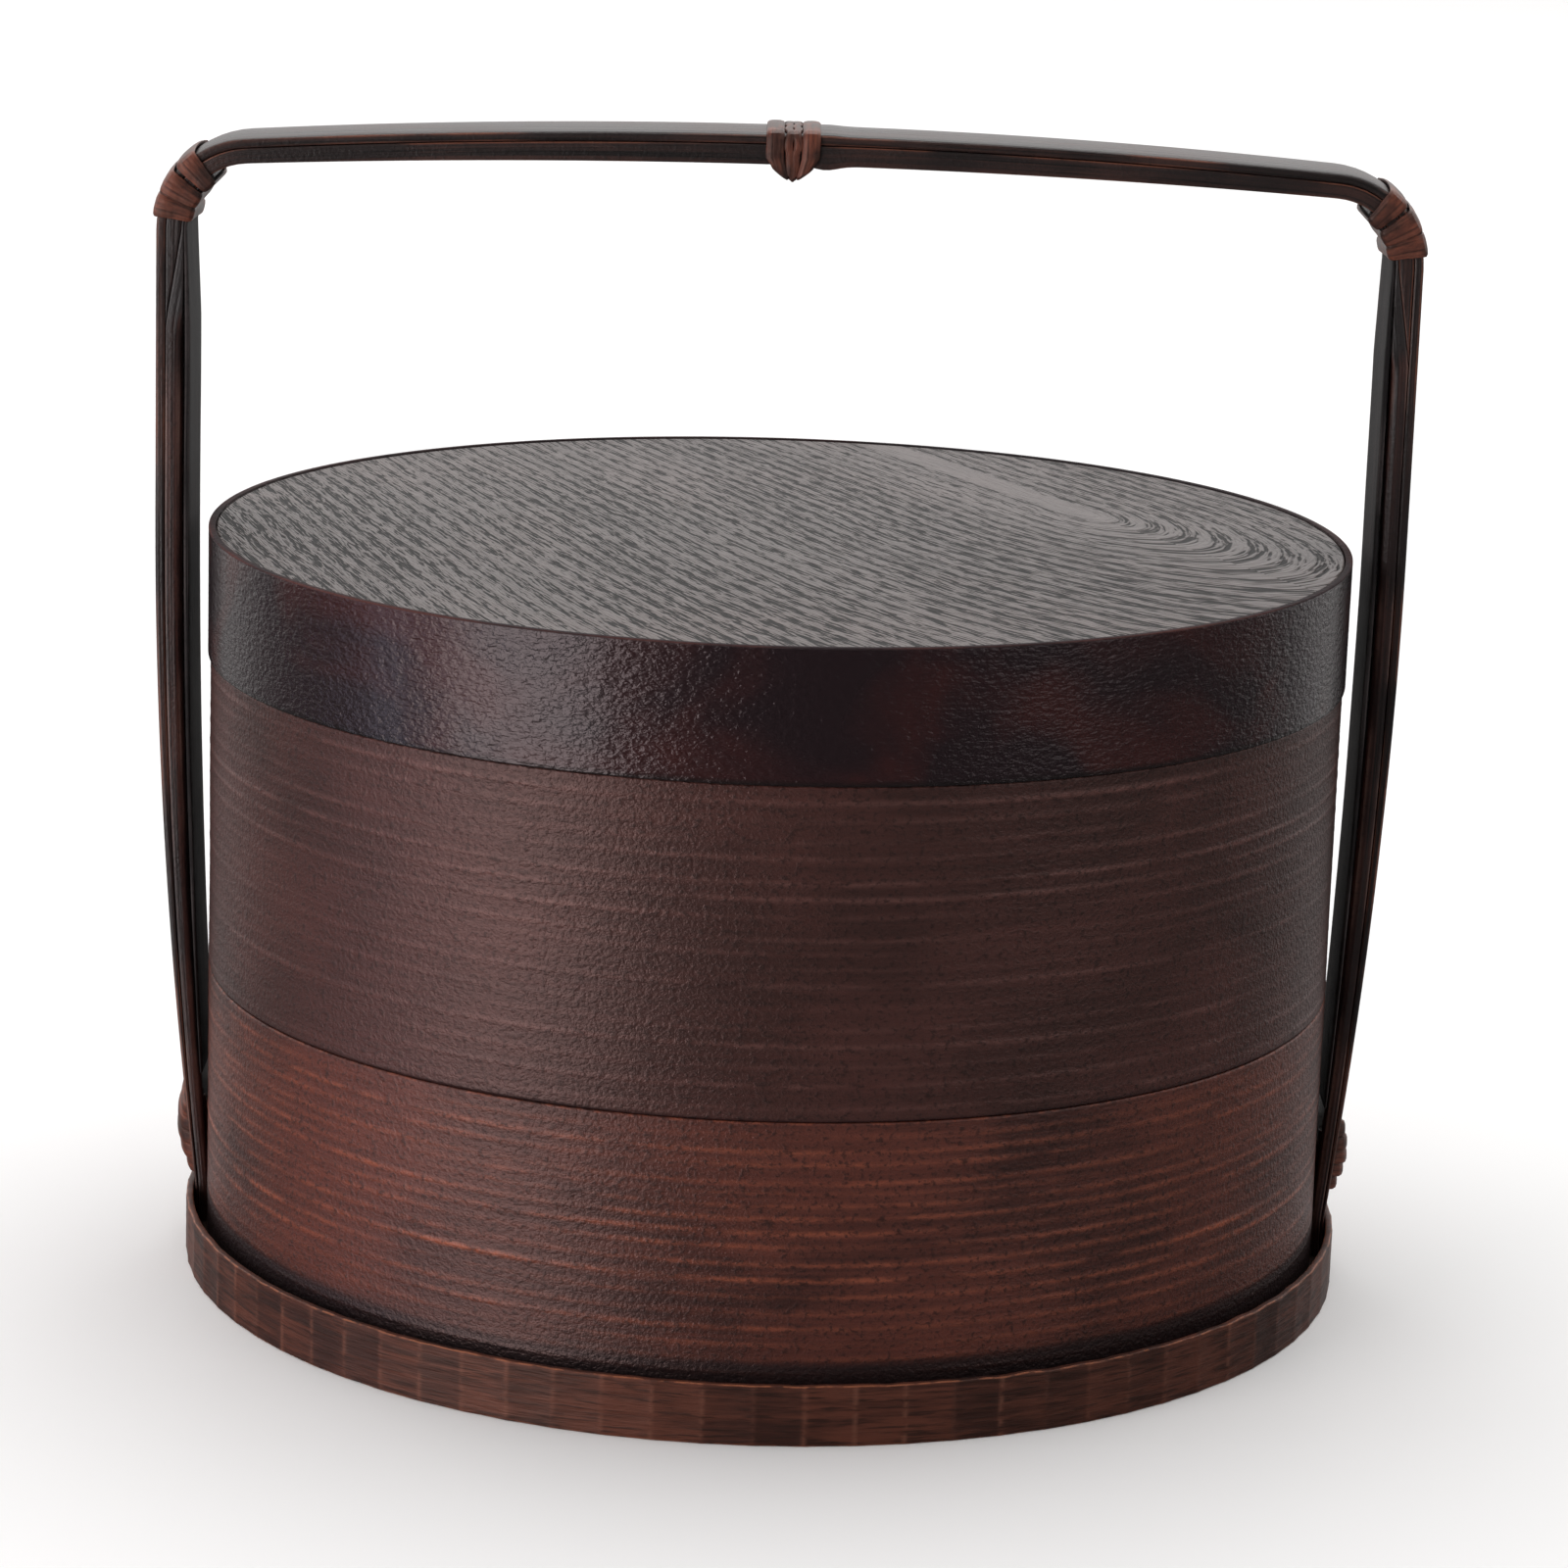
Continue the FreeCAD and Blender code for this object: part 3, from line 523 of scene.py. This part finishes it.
def baseHoop():
    low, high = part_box("base_hoop")
    look, edge = hoopLook, hoopLook["edge"]
    outside, inside = high.y, high.y - look["wall"]
    turnOf = 2 * math.pi / look["facets"]
    dice = random.Random(look["seed"])
    depths, ridges, tones = [[dice.uniform(least, 1.0) for _ in range(look["facets"])]
                             for least in (0.35, 0.25, 0.0)]

    def shape(radius, height, angle):
        step = angle / turnOf
        facet = int(step + 1e-6) % look["facets"]
        across = max(0.0, step - int(step + 1e-6))
        bow = 4 * across * (1 - across)
        near = facet if across < 0.5 else (facet + 1) % look["facets"]
        ridge = max(0.0, 1 - min(across, 1 - across) / look["ridgeShare"]) * ridges[near]
        if radius > outside - edge * 1.2:
            radius -= bow * depths[facet] * look["facetDip"]
            radius -= (0.5 + 0.5 * noise.noise(Vector((step * 3, height * 400, 2)))) * look["shave"]
        if height > high.z - edge * 1.2:
            height -= (0.5 + 0.5 * noise.noise(Vector((step * 1.7, 5, 2)))) * look["wobble"]
        return radius, height, ridge if radius > outside - 2 * edge else 0.0, tones[facet]

    section = [(outside, z, 0.0) for z in between(low.z + edge, high.z - edge, 14)]
    section += quarter(outside - edge, high.z - edge, edge, 0, 4, 1.0)
    section += quarter(inside + edge, high.z - edge, edge, 90, 4, 0.8)
    section += [(inside, z, 0.0) for z in reversed(between(low.z + edge, high.z - edge, 6))]
    section += quarter(inside + edge, low.z + edge, edge, 180, 3, 0.0)
    section += quarter(outside - edge, low.z + edge, edge, 270, 4, 0.7)
    piece = turnOnLathe("base_hoop_bamboo", section, look["facets"] * look["perFacet"], shape)
    dress(piece, hoopBamboo(), "carrier", "bamboo_hoop", "base_hoop")


baseHoop()
print("base hoop cut")


stripLow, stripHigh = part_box("handle_outer_strip")
handleLook = {
    "barBow": 1470 * mm, "cornerRadius": 20 * mm, "kneeAboveLid": 2.1 * mm,
    "outer": 2.6 * mm, "outerFoot": 0.9 * mm, "bar": 4.2 * mm, "barEnd": 3.2 * mm, "middle": 3.6 * mm,
    "middleTip": 0.7 * mm, "inner": 1.1 * mm, "innerTip": 0.5 * mm, "innerGap": 0.4 * mm,
    "scarf": 19.6 * mm, "middleTurn": 57, "innerTurn": 52, "innerEnd": 38 * mm,
    "ease": 0.5 * mm, "crown": 0.7 * mm, "nodeAt": 6.8 * mm, "nodeRise": 0.35 * mm,
    "nodeUnder": 0.85 * mm, "nodeWide": 3.4 * mm, "waver": 0.12 * mm, "hoopSlack": 0.1 * mm,
    "stationStep": 2.5 * mm, "thinnest": 0.12 * mm, "plainEase": 0.35 * mm, "plainCrown": 0.05 * mm,
    "footChamfer": 1.5 * mm, "chamferFade": 1.5 * mm,
}
stripLooks = {
    "darkFrom": 198.5 * mm, "darkTo": 203.5 * mm,      # heights between which the strip turns darker
    "outer_bamboo": {"dark": (0.014, 0.0080, 0.0075), "warm": (0.042, 0.0155, 0.0115),
                     "edge": (0.230, 0.070, 0.034), "darkening": 0.0, "shine": 0.5},
    "middle_bamboo": {"dark": (0.018, 0.0080, 0.0075), "warm": (0.062, 0.0195, 0.0140),
                      "edge": (0.22, 0.125, 0.10), "darkening": 0.9, "shine": 0.5},
    "inner_bamboo": {"dark": (0.014, 0.012, 0.0125), "warm": (0.036, 0.029, 0.029),
                     "edge": (0.085, 0.070, 0.068), "darkening": 0.0, "shine": 0.12},
}
handleHalf, handleTop, halfWidth, footLow = stripHigh.x, stripHigh.z, stripHigh.y, stripLow.z
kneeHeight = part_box("lid_rim")[1].z + handleLook["kneeAboveLid"]
barCentre = handleTop - handleLook["barBow"]
cornerX = handleHalf - handleLook["cornerRadius"]
cornerReach = handleLook["barBow"] - handleLook["cornerRadius"]
cornerZ = barCentre + math.sqrt(cornerReach ** 2 - cornerX ** 2)
cornerEnd = math.atan2(cornerZ - barCentre, cornerX)
scarfLow = cornerZ - handleLook["scarf"]
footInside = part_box("leg_middle_strip_right")[0].x
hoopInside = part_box("base_hoop")[1].y - hoopLook["wall"]
footOutside = math.sqrt(hoopInside ** 2 - halfWidth ** 2) - handleLook["hoopSlack"]


class Face:
    # one face of a strip: depths above the knee, an arc in to the foot below it,
    # turn is its depth round the corner and belly its extra depth in the middle of the bar
    def __init__(self, levels, turn, foot=None, belly=0.0):
        self.levels = levels
        self.turn = turn
        self.foot = foot
        self.belly = belly

    def across(self, height):
        first = self.levels[0]
        if self.foot and height < first[0]:
            footX, footZ = self.foot
            if height <= footZ:
                return footX
            inset = handleHalf - first[1] - footX
            bend = ((first[0] - footZ) ** 2 + inset ** 2) / (2 * inset)
            return handleHalf - first[1] - bend + math.sqrt(bend ** 2 - (first[0] - height) ** 2)
        for (lowZ, lowDepth), (highZ, highDepth) in zip(self.levels, self.levels[1:]):
            if height <= highZ:
                share = max(0.0, (height - lowZ) / (highZ - lowZ))
                return handleHalf - lowDepth - (highDepth - lowDepth) * share
        return handleHalf - self.levels[-1][1]

    def point(self, station):
        kind, value = station
        if kind == "leg":
            return Vector((self.across(value), 0, value))
        if kind == "corner":
            radius = handleLook["cornerRadius"] - self.turn
            return Vector((cornerX + radius * math.cos(value), 0, cornerZ + radius * math.sin(value)))
        bow = handleLook["barBow"]
        depth = self.turn + self.belly * (1 - (bow * math.cos(value) / cornerX) ** 2)
        radius = bow - depth
        return Vector((radius * math.cos(value), 0, barCentre + radius * math.sin(value)))


def legStations(low, high=cornerZ):
    count = max(2, int((high - low) / handleLook["stationStep"]))
    return [("leg", low + (high - low) * k / count) for k in range(count)]


def cornerStations(turn):
    count = 14
    return [("corner", turn * k / count) for k in range(count + 1)]


def barStations():
    count = 90
    return [("bar", cornerEnd + (math.pi / 2 - cornerEnd) * k / count) for k in range(1, count + 1)]


def stripRing(thick, ease, crown, chamfer, steps=8):
    # section of a strip: (across, depth below the outer face, wear), outer face crowned
    ease = min(ease, thick * 0.42)
    cut = min(chamfer, thick * 0.5) if chamfer else ease
    rows = []
    for k in range(steps + 1):
        y = -halfWidth + ease + (2 * halfWidth - 2 * ease) * k / steps
        rows.append((y, min(crown, thick * 0.3) * (y / halfWidth) ** 2, 0.0))
    drop = min(crown, thick * 0.3)
    bevel = 0.42 if chamfer > ease else 0.3
    top, foot = drop + ease, thick - cut
    side = [(halfWidth - ease * 0.3, drop + ease * 0.3, 1.0), (halfWidth, top, 0.6),
            (halfWidth, top + (foot - top) * 0.22, 0.0), (halfWidth, top + (foot - top) * 0.8, 0.0),
            (halfWidth, foot, 0.5), (halfWidth - cut * bevel, thick - cut * bevel, 0.8)]
    rows += side
    for k in range(steps + 1):
        rows.append((halfWidth - cut - (2 * halfWidth - 2 * cut) * k / steps, thick, 0.0))
    rows += [(-y, depth, worn) for y, depth, worn in reversed(side)]
    return rows


def bambooStrip(name, outerFace, innerFace, stations, mirrored, look, seed):
    pairs = [(outerFace.point(s), innerFace.point(s)) for s in stations]
    if mirrored:
        flip = [(Vector((-a.x, 0, a.z)), Vector((-b.x, 0, b.z))) for a, b in reversed(pairs[:-1])]
        pairs += flip
    rings, wear, laid, run = [], [], [], 0.0
    fade = handleLook["chamferFade"]
    for k, (outer, inner) in enumerate(pairs):
        if k:
            run += (outer - pairs[k - 1][0]).length
        inward = inner - outer
        thick = max(inward.length, handleLook["thinnest"])
        inward = inward.normalized() if inward.length > 1e-6 else Vector((-1, 0, 0))
        waver = noise.noise(Vector((run * 30, seed, 0))) * handleLook["waver"]
        fromNode = (outer.x - handleLook["nodeAt"]) / handleLook["nodeWide"]
        atNode = math.exp(-fromNode ** 2) if outer.z > cornerZ else 0.0
        ring = []
        low = min(1.0, max(0.0, (scarfLow + fade - outer.z) / (2 * fade)))
        chamfer = max(look["ease"], look.get("chamfer", 0) * low)
        for y, depth, worn in stripRing(thick, look["ease"], look["crown"], chamfer):
            lift = atNode * (look["node"] * (1 - depth / thick) - look["under"] * depth / thick)
            edge = 1 + 0.010 * noise.noise(Vector((run * 22, seed + 3, y * 200)))
            shift = waver if look.get("loose") else 0.0
            ring.append(outer + inward * (depth - lift + shift) + Vector((0, y * edge, 0)))
            wear.append(worn)
            laid.append((run, y, depth))
        rings.append(ring)
    return sweepRings(name, rings, {"wear": wear}, laid)


def handleStrips():
    h = handleLook
    barDepth = h["outer"] + h["barEnd"]
    legDepth = h["outer"] + h["middle"]
    tipDepth = barDepth + h["middleTip"]
    outside = Face([(kneeHeight, 0.0), (cornerZ, 0.0)], 0.0, (footOutside, hoopHigh))
    under = Face([(kneeHeight, h["outer"]), (cornerZ, h["outer"])], h["outer"],
                 (footOutside - h["outerFoot"], hoopHigh))
    barOuter = Face([(scarfLow, h["outer"]), (cornerZ, h["outer"])], h["outer"])
    barInner = Face([(scarfLow, h["outer"]), (cornerZ, barDepth)], barDepth, None,
                    h["bar"] - h["barEnd"])
    middleOuter = Face([(kneeHeight, h["outer"]), (scarfLow, h["outer"]), (cornerZ, barDepth)],
                       barDepth, (footOutside - h["outerFoot"], hoopHigh))
    middleInner = Face([(kneeHeight, legDepth), (scarfLow, legDepth), (cornerZ, tipDepth)],
                       tipDepth, (footInside, hoopHigh))
    endX = middleInner.across(h["innerEnd"])
    innerOuter = Face([(kneeHeight, legDepth + h["innerGap"]), (scarfLow, legDepth + h["innerGap"]),
                       (cornerZ, tipDepth)], tipDepth, (endX, h["innerEnd"]))
    lastDepth = legDepth + h["innerGap"] + h["inner"]
    innerInner = Face([(kneeHeight, lastDepth), (scarfLow, lastDepth),
                       (cornerZ, tipDepth + h["innerTip"])], tipDepth + h["innerTip"],
                      (endX - h["innerTip"], h["innerEnd"]))

    crowned = {"ease": h["ease"], "crown": h["crown"], "node": h["nodeRise"], "under": 0}
    flat = {"ease": h["plainEase"], "crown": h["plainCrown"], "node": 0, "under": 0}
    barLook = {**flat, "under": h["nodeUnder"]}
    middleLook = {**flat, "chamfer": h["footChamfer"]}
    innerLook = {**flat, "loose": True}
    brown, red, grey = [stripBamboo(name) for name in ("outer_bamboo", "middle_bamboo", "inner_bamboo")]

    whole = legStations(footLow) + cornerStations(cornerEnd) + barStations()
    piece = bambooStrip("outer_strip_bamboo", outside, under, whole, True, crowned, 1)
    dress(piece, brown, "carrier", "handle_bamboo", "handle_outer_strip")
    barPart = legStations(scarfLow + 0.5 * mm) + cornerStations(cornerEnd) + barStations()
    piece = bambooStrip("bar_strip_bamboo", barOuter, barInner, barPart, True, barLook, 2)
    dress(piece, brown, "carrier", "handle_bamboo", "handle_bar_strip")

    for hand, side in (("right", 1), ("left", -1)):
        made = [
            ("middle", bambooStrip("leg_middle_bamboo_" + hand, middleOuter, middleInner,
                                   legStations(footLow) + cornerStations(math.radians(h["middleTurn"])),
                                   False, middleLook, 4 + side), red),
            ("inner", bambooStrip("leg_inner_bamboo_" + hand, innerOuter, innerInner,
                                  legStations(h["innerEnd"]) + cornerStations(math.radians(h["innerTurn"])),
                                  False, innerLook, 8 + side), grey),
        ]
        for layer, piece, material in made:
            if side < 0:
                piece.data.transform(Matrix.Rotation(math.pi, 4, "Z"))
            dress(piece, material, "carrier", "handle_bamboo", "leg_%s_strip_%s" % (layer, hand))
    return outside, middleInner


outerFace, backFace = handleStrips()
print("handle strips bent")


caneLook = {"thick": 0.9 * mm, "steps": 72, "turnStep": 17.0, "firstTurn": 14.0,
            "cornerTurns": ((2.0, 4.2), (-1.5, 4.7), (-0.5, 4.2)),      # slant in degrees, width in mm
            "slack": 0.12 * mm, "corner": 1.0 * mm, "ripple": 0.12 * mm, "fan": 0.2, "slantAt": 0.12}
knotLook = {"pitch": 3.7 * mm, "width": 3.7 * mm, "slack": 0.05 * mm, "slip": 1.0 * mm, "drop": 1.2 * mm,
            "tip": 0.75, "keelWidth": 1.9 * mm, "keelInset": 0.15 * mm, "keelSlip": 0.35 * mm,
            "keelDrop": 2.3 * mm, "keelTip": 0.9, "keelApart": 0.78 * mm, "keelSway": 0.25 * mm,
            "keelTwists": 9, "underFrom": 0.45}
lashingLook = {"low": 17.5 * mm, "high": 32 * mm, "half": 8.3 * mm, "strands": 5, "lean": 2.4 * mm,
               "proud": 3.0 * mm, "width": 4.1 * mm, "thick": 1.5 * mm, "sunk": 0.75 * mm,
               "swell": 0.3 * mm, "returnAt": 6.5 * mm, "returnSunk": 0.2 * mm, "returnThick": 0.4 * mm,
               "strandSteps": 22, "returnSteps": 8, "bulge": 0.42, "endHump": 0.35, "returnWidth": 2.48 * mm}
cane = caneFinish()


def caneRing(middle, wide, proud, width, thick, run):
    # section of flat split cane: level underneath, crowned outside
    ring, wear, laid = [], [], []
    outline = [(-1, 0.42), (-0.82, 0.80), (-0.45, 0.97), (0, 1.0), (0.45, 0.97), (0.82, 0.80),
               (1, 0.42), (0.86, 0.06), (0.4, 0.0), (-0.4, 0.0), (-0.86, 0.06)]
    for across, high in outline:
        ring.append(middle + wide * (across * width / 2) + proud * ((high - 0.5) * thick))
        wear.append(max(0.0, high - 0.6) * abs(across))
        laid.append((run, across * width / 2, high * thick))
    return ring, wear, laid


def sweepCane(name, path, width, thick, closed=False):
    # path rows are (middle, wide direction, outward direction)
    rings, wear, laid, run = [], [], [], 0.0
    for k, (middle, wide, proud) in enumerate(path):
        if k:
            run += (middle - path[k - 1][0]).length
        ring, worn, spread = caneRing(middle, wide, proud, width, thick, run)
        rings.append(ring)
        wear += worn
        laid += spread
    return sweepRings(name, rings, {"wear": wear}, laid, closed)


def roundBox(share, halfOut, halfAcross, corner):
    # a point and outward direction on a rounded rectangle, share 0 to 1 round it from its inner side
    straight = [2 * (halfAcross - corner), 2 * (halfOut - corner)]
    arc = math.pi * corner / 2
    total = 2 * (straight[0] + straight[1]) + 4 * arc
    left = (share % 1.0) * total
    start = [Vector((-halfOut, halfAcross - corner)), Vector((-halfOut + corner, -halfAcross)),
             Vector((halfOut, -halfAcross + corner)), Vector((halfOut - corner, halfAcross))]
    heading = [Vector((0, -1)), Vector((1, 0)), Vector((0, 1)), Vector((-1, 0))]
    facing = [Vector((-1, 0)), Vector((0, -1)), Vector((1, 0)), Vector((0, 1))]
    for side in range(4):
        length = straight[side % 2]
        if left <= length:
            return start[side] + heading[side] * left, facing[side]
        left -= length
        if left <= arc:
            turn = left / corner
            face = facing[side] * math.cos(turn) + heading[side] * math.sin(turn)
            centre = start[side] + heading[side] * length - facing[side] * corner
            return centre + face * corner, face
        left -= arc
    return start[0], facing[0]


def woundCane(name, place, halfOut, halfAcross, width, thick, fan=0.0, pull=None):
    # one closed turn round the strips, wider outside by the fan share;
    # pull gives how far a point slips along, drops outward and tips over
    path = []
    count = caneLook["steps"]
    for k in range(count):
        t = k / count
        centre, out, along = place(t)
        point, face = roundBox(t, halfOut, halfAcross, caneLook["corner"])
        crown = handleLook["crown"] * (point.y / halfWidth) ** 2 if point.x > 0 else 0.0
        slip, drop, tip = pull(point) if pull else (0.0, 0.0, 0.0)
        ripple = noise.noise(Vector((t * 9, width * 4000, centre.x * 60))) * caneLook["ripple"]
        middle = centre + out * (point.x - crown - drop) + Vector((0, point.y, 0))
        middle += along * (slip + ripple)
        proud = out * face.x + Vector((0, face.y, 0))
        wide = (along + out * tip) * (1 + fan * point.x / halfOut)
        path.append((middle, wide, proud))
    return sweepCane(name, path, width, thick, True)


def pathCane(name, points, width, thick, facing=1):
    # a cane strip along points, its outer face turned to +x, or to -x for facing -1
    rows = []
    for k, point in enumerate(points):
        ahead = points[min(k + 1, len(points) - 1)] - points[max(k - 1, 0)]
        wide = ahead.cross(Vector((facing, 0, 0))).normalized()
        proud = wide.cross(ahead).normalized()
        if proud.x * facing < 0:
            proud = -proud
        rows.append((point, wide, proud))
    return sweepCane(name, rows, width, thick)


def joinPieces(name, pieces):
    bpy.ops.object.select_all(action="DESELECT")
    for piece in pieces:
        piece.select_set(True)
    bpy.context.view_layer.objects.active = pieces[0]
    bpy.ops.object.join()
    pieces[0].name = name
    pieces[0].data.name = name
    return pieces[0]


def cornerWrap(hand, side):
    look = caneLook
    depth = handleLook["outer"] + handleLook["barEnd"] + handleLook["middleTip"] + handleLook["innerTip"]
    midRadius = handleLook["cornerRadius"] - depth / 2
    halfOut = depth / 2 + look["slack"] + look["thick"] / 2
    halfAcross = halfWidth + look["slack"] + look["thick"] / 2
    made = []
    for count, (slant, width) in enumerate(look["cornerTurns"]):
        def place(t, count=count, slant=slant):
            lean = math.radians(look["firstTurn"] + look["turnStep"] * count
                                + slant * math.sin(2 * math.pi * (t - look["slantAt"])))
            out = Vector((math.cos(lean), 0, math.sin(lean)))
            along = Vector((-math.sin(lean), 0, math.cos(lean)))
            return Vector((cornerX, 0, cornerZ)) + out * midRadius, out, along

        made.append(woundCane("turn", place, halfOut, halfAcross, width * mm, look["thick"], look["fan"]))
    piece = joinPieces("corner_cane_" + hand, made)
    if side < 0:
        piece.data.transform(Matrix.Scale(-1, 4, (1, 0, 0)))
        piece.data.flip_normals()
    dress(piece, cane, "carrier", "cane", "corner_wrap_" + hand)


def centreWrap():
    look, thick = knotLook, caneLook["thick"]
    depth = handleLook["outer"] + handleLook["bar"]
    halfOut = depth / 2 + look["slack"] + thick / 2
    halfAcross = halfWidth + look["slack"] + thick / 2
    middle = handleTop - depth / 2
    out, along = Vector((0, 0, 1)), Vector((1, 0, 0))

    def under(point):          # 0 on top and down the sides, 1 on the underside
        start = look["underFrom"] * halfOut
        share = min(1.0, max(0.0, (-start - point.x) / (halfOut - start)))
        return share * share * (3 - 2 * share)

    made = []
    for side in (-1, 1):
        made.append(woundCane(
            "turn", lambda t, s=side: (Vector((s * look["pitch"], 0, middle)), out, along),
            halfOut, halfAcross, look["width"], thick, 0.0,
            lambda point, s=side: (-s * look["slip"] * under(point), look["drop"] * under(point),
                                   s * look["tip"] * under(point))))
    for strand in (-1, 1):     # the middle pair of strands is laid round each other and drawn to a keel
        def place(t, strand=strand):
            swing = math.sin(2 * math.pi * (t * look["keelTwists"] + 0.2))
            apart = look["keelApart"] + look["keelSway"] * swing
            return Vector((strand * apart, 0, middle)), out, along

        made.append(woundCane(
            "twist", place, halfOut - look["keelInset"], halfAcross - look["keelInset"],
            look["keelWidth"], thick * 0.95, 0.0,
            lambda point, s=strand: (-s * look["keelSlip"] * under(point), look["keelDrop"] * under(point),
                                     s * look["keelTip"] * under(point))))
    piece = joinPieces("centre_cane", made)
    dress(piece, cane, "carrier", "cane", "centre_wrap")


def legLashing(hand, side):
    look = lashingLook
    made = []
    span = look["high"] - look["low"]
    for row in range(look["strands"]):       # slanting strands drawn over each other into a bump
        middle = look["low"] + span * (row + 0.5) / look["strands"]
        bump = math.sin(math.pi * (row + 0.6) / look["strands"])
        hump = look["endHump"] + (1 - look["endHump"]) * bump
        path = []
        for k in range(look["strandSteps"] + 1):
            t = 2 * k / look["strandSteps"] - 1
            z = middle - look["lean"] * t
            rise = max(0.0, 1 - t * t) ** look["bulge"]
            x = outerFace.across(z) + (rise * look["proud"] * hump - look["sunk"]) + look["swell"] * rise
            path.append(Vector((x, t * look["half"], z)))
        made.append(pathCane("strand", path, look["width"], look["thick"]))
    for row in (-1, 1):        # straight returns behind the leg
        path = []
        for k in range(look["returnSteps"] + 1):
            z = look["low"] + span * k / look["returnSteps"]
            path.append(Vector((backFace.across(z) - look["returnSunk"], row * look["returnAt"], z)))
        made.append(pathCane("back", path, look["returnWidth"], look["returnThick"], -1))
    piece = joinPieces("leg_cane_" + hand, made)
    if side < 0:
        piece.data.transform(Matrix.Rotation(math.pi, 4, "Z"))
    dress(piece, cane, "carrier", "cane", "leg_lashing_" + hand)


for hand, side in (("right", 1), ("left", -1)):
    cornerWrap(hand, side)
    legLashing(hand, side)
centreWrap()
print("cane wound")


def repaint(material, *names):
    for name in names:
        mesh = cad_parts[name].data
        if not mesh.materials:
            mesh.materials.append(material)
        for index in range(len(mesh.materials)):
            mesh.materials[index] = material


repaint(insideLacquer(), "lower_box_bottom", "lower_box_lip", "upper_box_bottom", "upper_box_lip",
        "lid_liner")
repaint(baseWood(), "base_board")
repaint(pinBamboo(), "leg_pins", "hoop_lap_pins")


studio = {"floorRadius": 9.0, "floorTone": 0.88, "floorDrop": 0.05 * mm, "glow": 1.16, "gloom": 0.075,
          "brightSide": (0.0, 0.8, 0.9), "skyColour": (1.0, 0.985, 0.975, 1.0)}
softboxes = {      # place, target, width, height, power, colour
    "overhead": ((0, 1.6, 2.8), (0, 0.9, 0), 5.0, 5.0, 80, (1, 1, 1)),
    "window": ((-1.06, -0.94, 0.10), (0, 0, 0.05), 0.80, 1.5, 14.0, (1.0, 0.95, 0.95)),
    "doorway": ((-1.42, -0.28, 0.0), (0, 0, 0.05), 0.22, 1.2, 1.6, (0.72, 0.78, 1.0)),
    "fill": ((1.5, -1.1, 0.7), (0, 0, 0.1), 0.9, 1.2, 3.5, (1, 1, 1)),
}
viewpoint = {"place": (0, -1.05931, 0.35336), "pitch": 0.232, "yaw": 0.0022, "roll": 0.0324,
             "lens": 117.14, "sensor": 36.0}


def layFloor():
    bpy.ops.mesh.primitive_circle_add(vertices=96, radius=studio["floorRadius"], fill_type="NGON",
                                      location=(0, 0, cadLow.z - studio["floorDrop"]))
    floor = bpy.context.object
    floor.name = "floor"
    f = Finish("floor_paint", Specular_IOR_Level=0.2, Roughness=0.9)
    mist = f.cloud(f.place(), 3.0)
    tone = studio["floorTone"]
    floor.data.materials.append(f.paint(f.mix(mist, (tone, tone, tone), (tone + 0.02,) * 3)))
    floor.visible_glossy = False
    floor.visible_shadow = False


def softbox(name, place, target, width, height, power, colour):
    lamp = bpy.data.lights.new(name, "AREA")
    lamp.shape = "RECTANGLE"
    lamp.size, lamp.size_y, lamp.energy, lamp.color = width, height, power, colour
    holder = bpy.data.objects.new(name, lamp)
    bpy.context.scene.collection.objects.link(holder)
    holder.location = place
    holder.rotation_euler = (Vector(target) - Vector(place)).to_track_quat("-Z", "Y").to_euler()
    holder.visible_camera = False


def lightSky():
    world = bpy.data.worlds.new("studio")
    bpy.context.scene.world = world
    world.use_nodes = True
    tree = world.node_tree
    back = tree.nodes["Background"]
    back.inputs["Color"].default_value = studio["skyColour"]
    bench = Bench(tree)
    way = bench.node("ShaderNodeTexCoord", {}, {}, "Generated")
    behind = bench.node("ShaderNodeVectorMath", {"operation": "DOT_PRODUCT"},
                        {0: way, 1: studio["brightSide"]}, "Value")
    plug(tree, behind.band(0.0, 1.0, studio["gloom"], studio["glow"]), back.inputs["Strength"])


def setCamera():
    cam = viewpoint
    data = bpy.data.cameras.new("camera")
    data.lens, data.sensor_width = cam["lens"], cam["sensor"]
    holder = bpy.data.objects.new("camera", data)
    bpy.context.scene.collection.objects.link(holder)
    ahead = Vector((math.cos(cam["pitch"]) * math.sin(cam["yaw"]),
                    math.cos(cam["pitch"]) * math.cos(cam["yaw"]), -math.sin(cam["pitch"])))
    right = Vector((math.cos(cam["yaw"]), -math.sin(cam["yaw"]), 0))
    up = right.cross(ahead)
    tipped = right * math.cos(cam["roll"]) + up * math.sin(cam["roll"])
    above = up * math.cos(cam["roll"]) - right * math.sin(cam["roll"])
    turn = Matrix((tipped, above, -ahead)).transposed()
    holder.matrix_world = Matrix.Translation(cam["place"]) @ turn.to_4x4()
    bpy.context.scene.camera = holder


layFloor()
lightSky()
for name, settings in softboxes.items():
    softbox(name, *settings)
setCamera()
bpy.context.scene.view_settings.view_transform = "Standard"

print("scene ready")
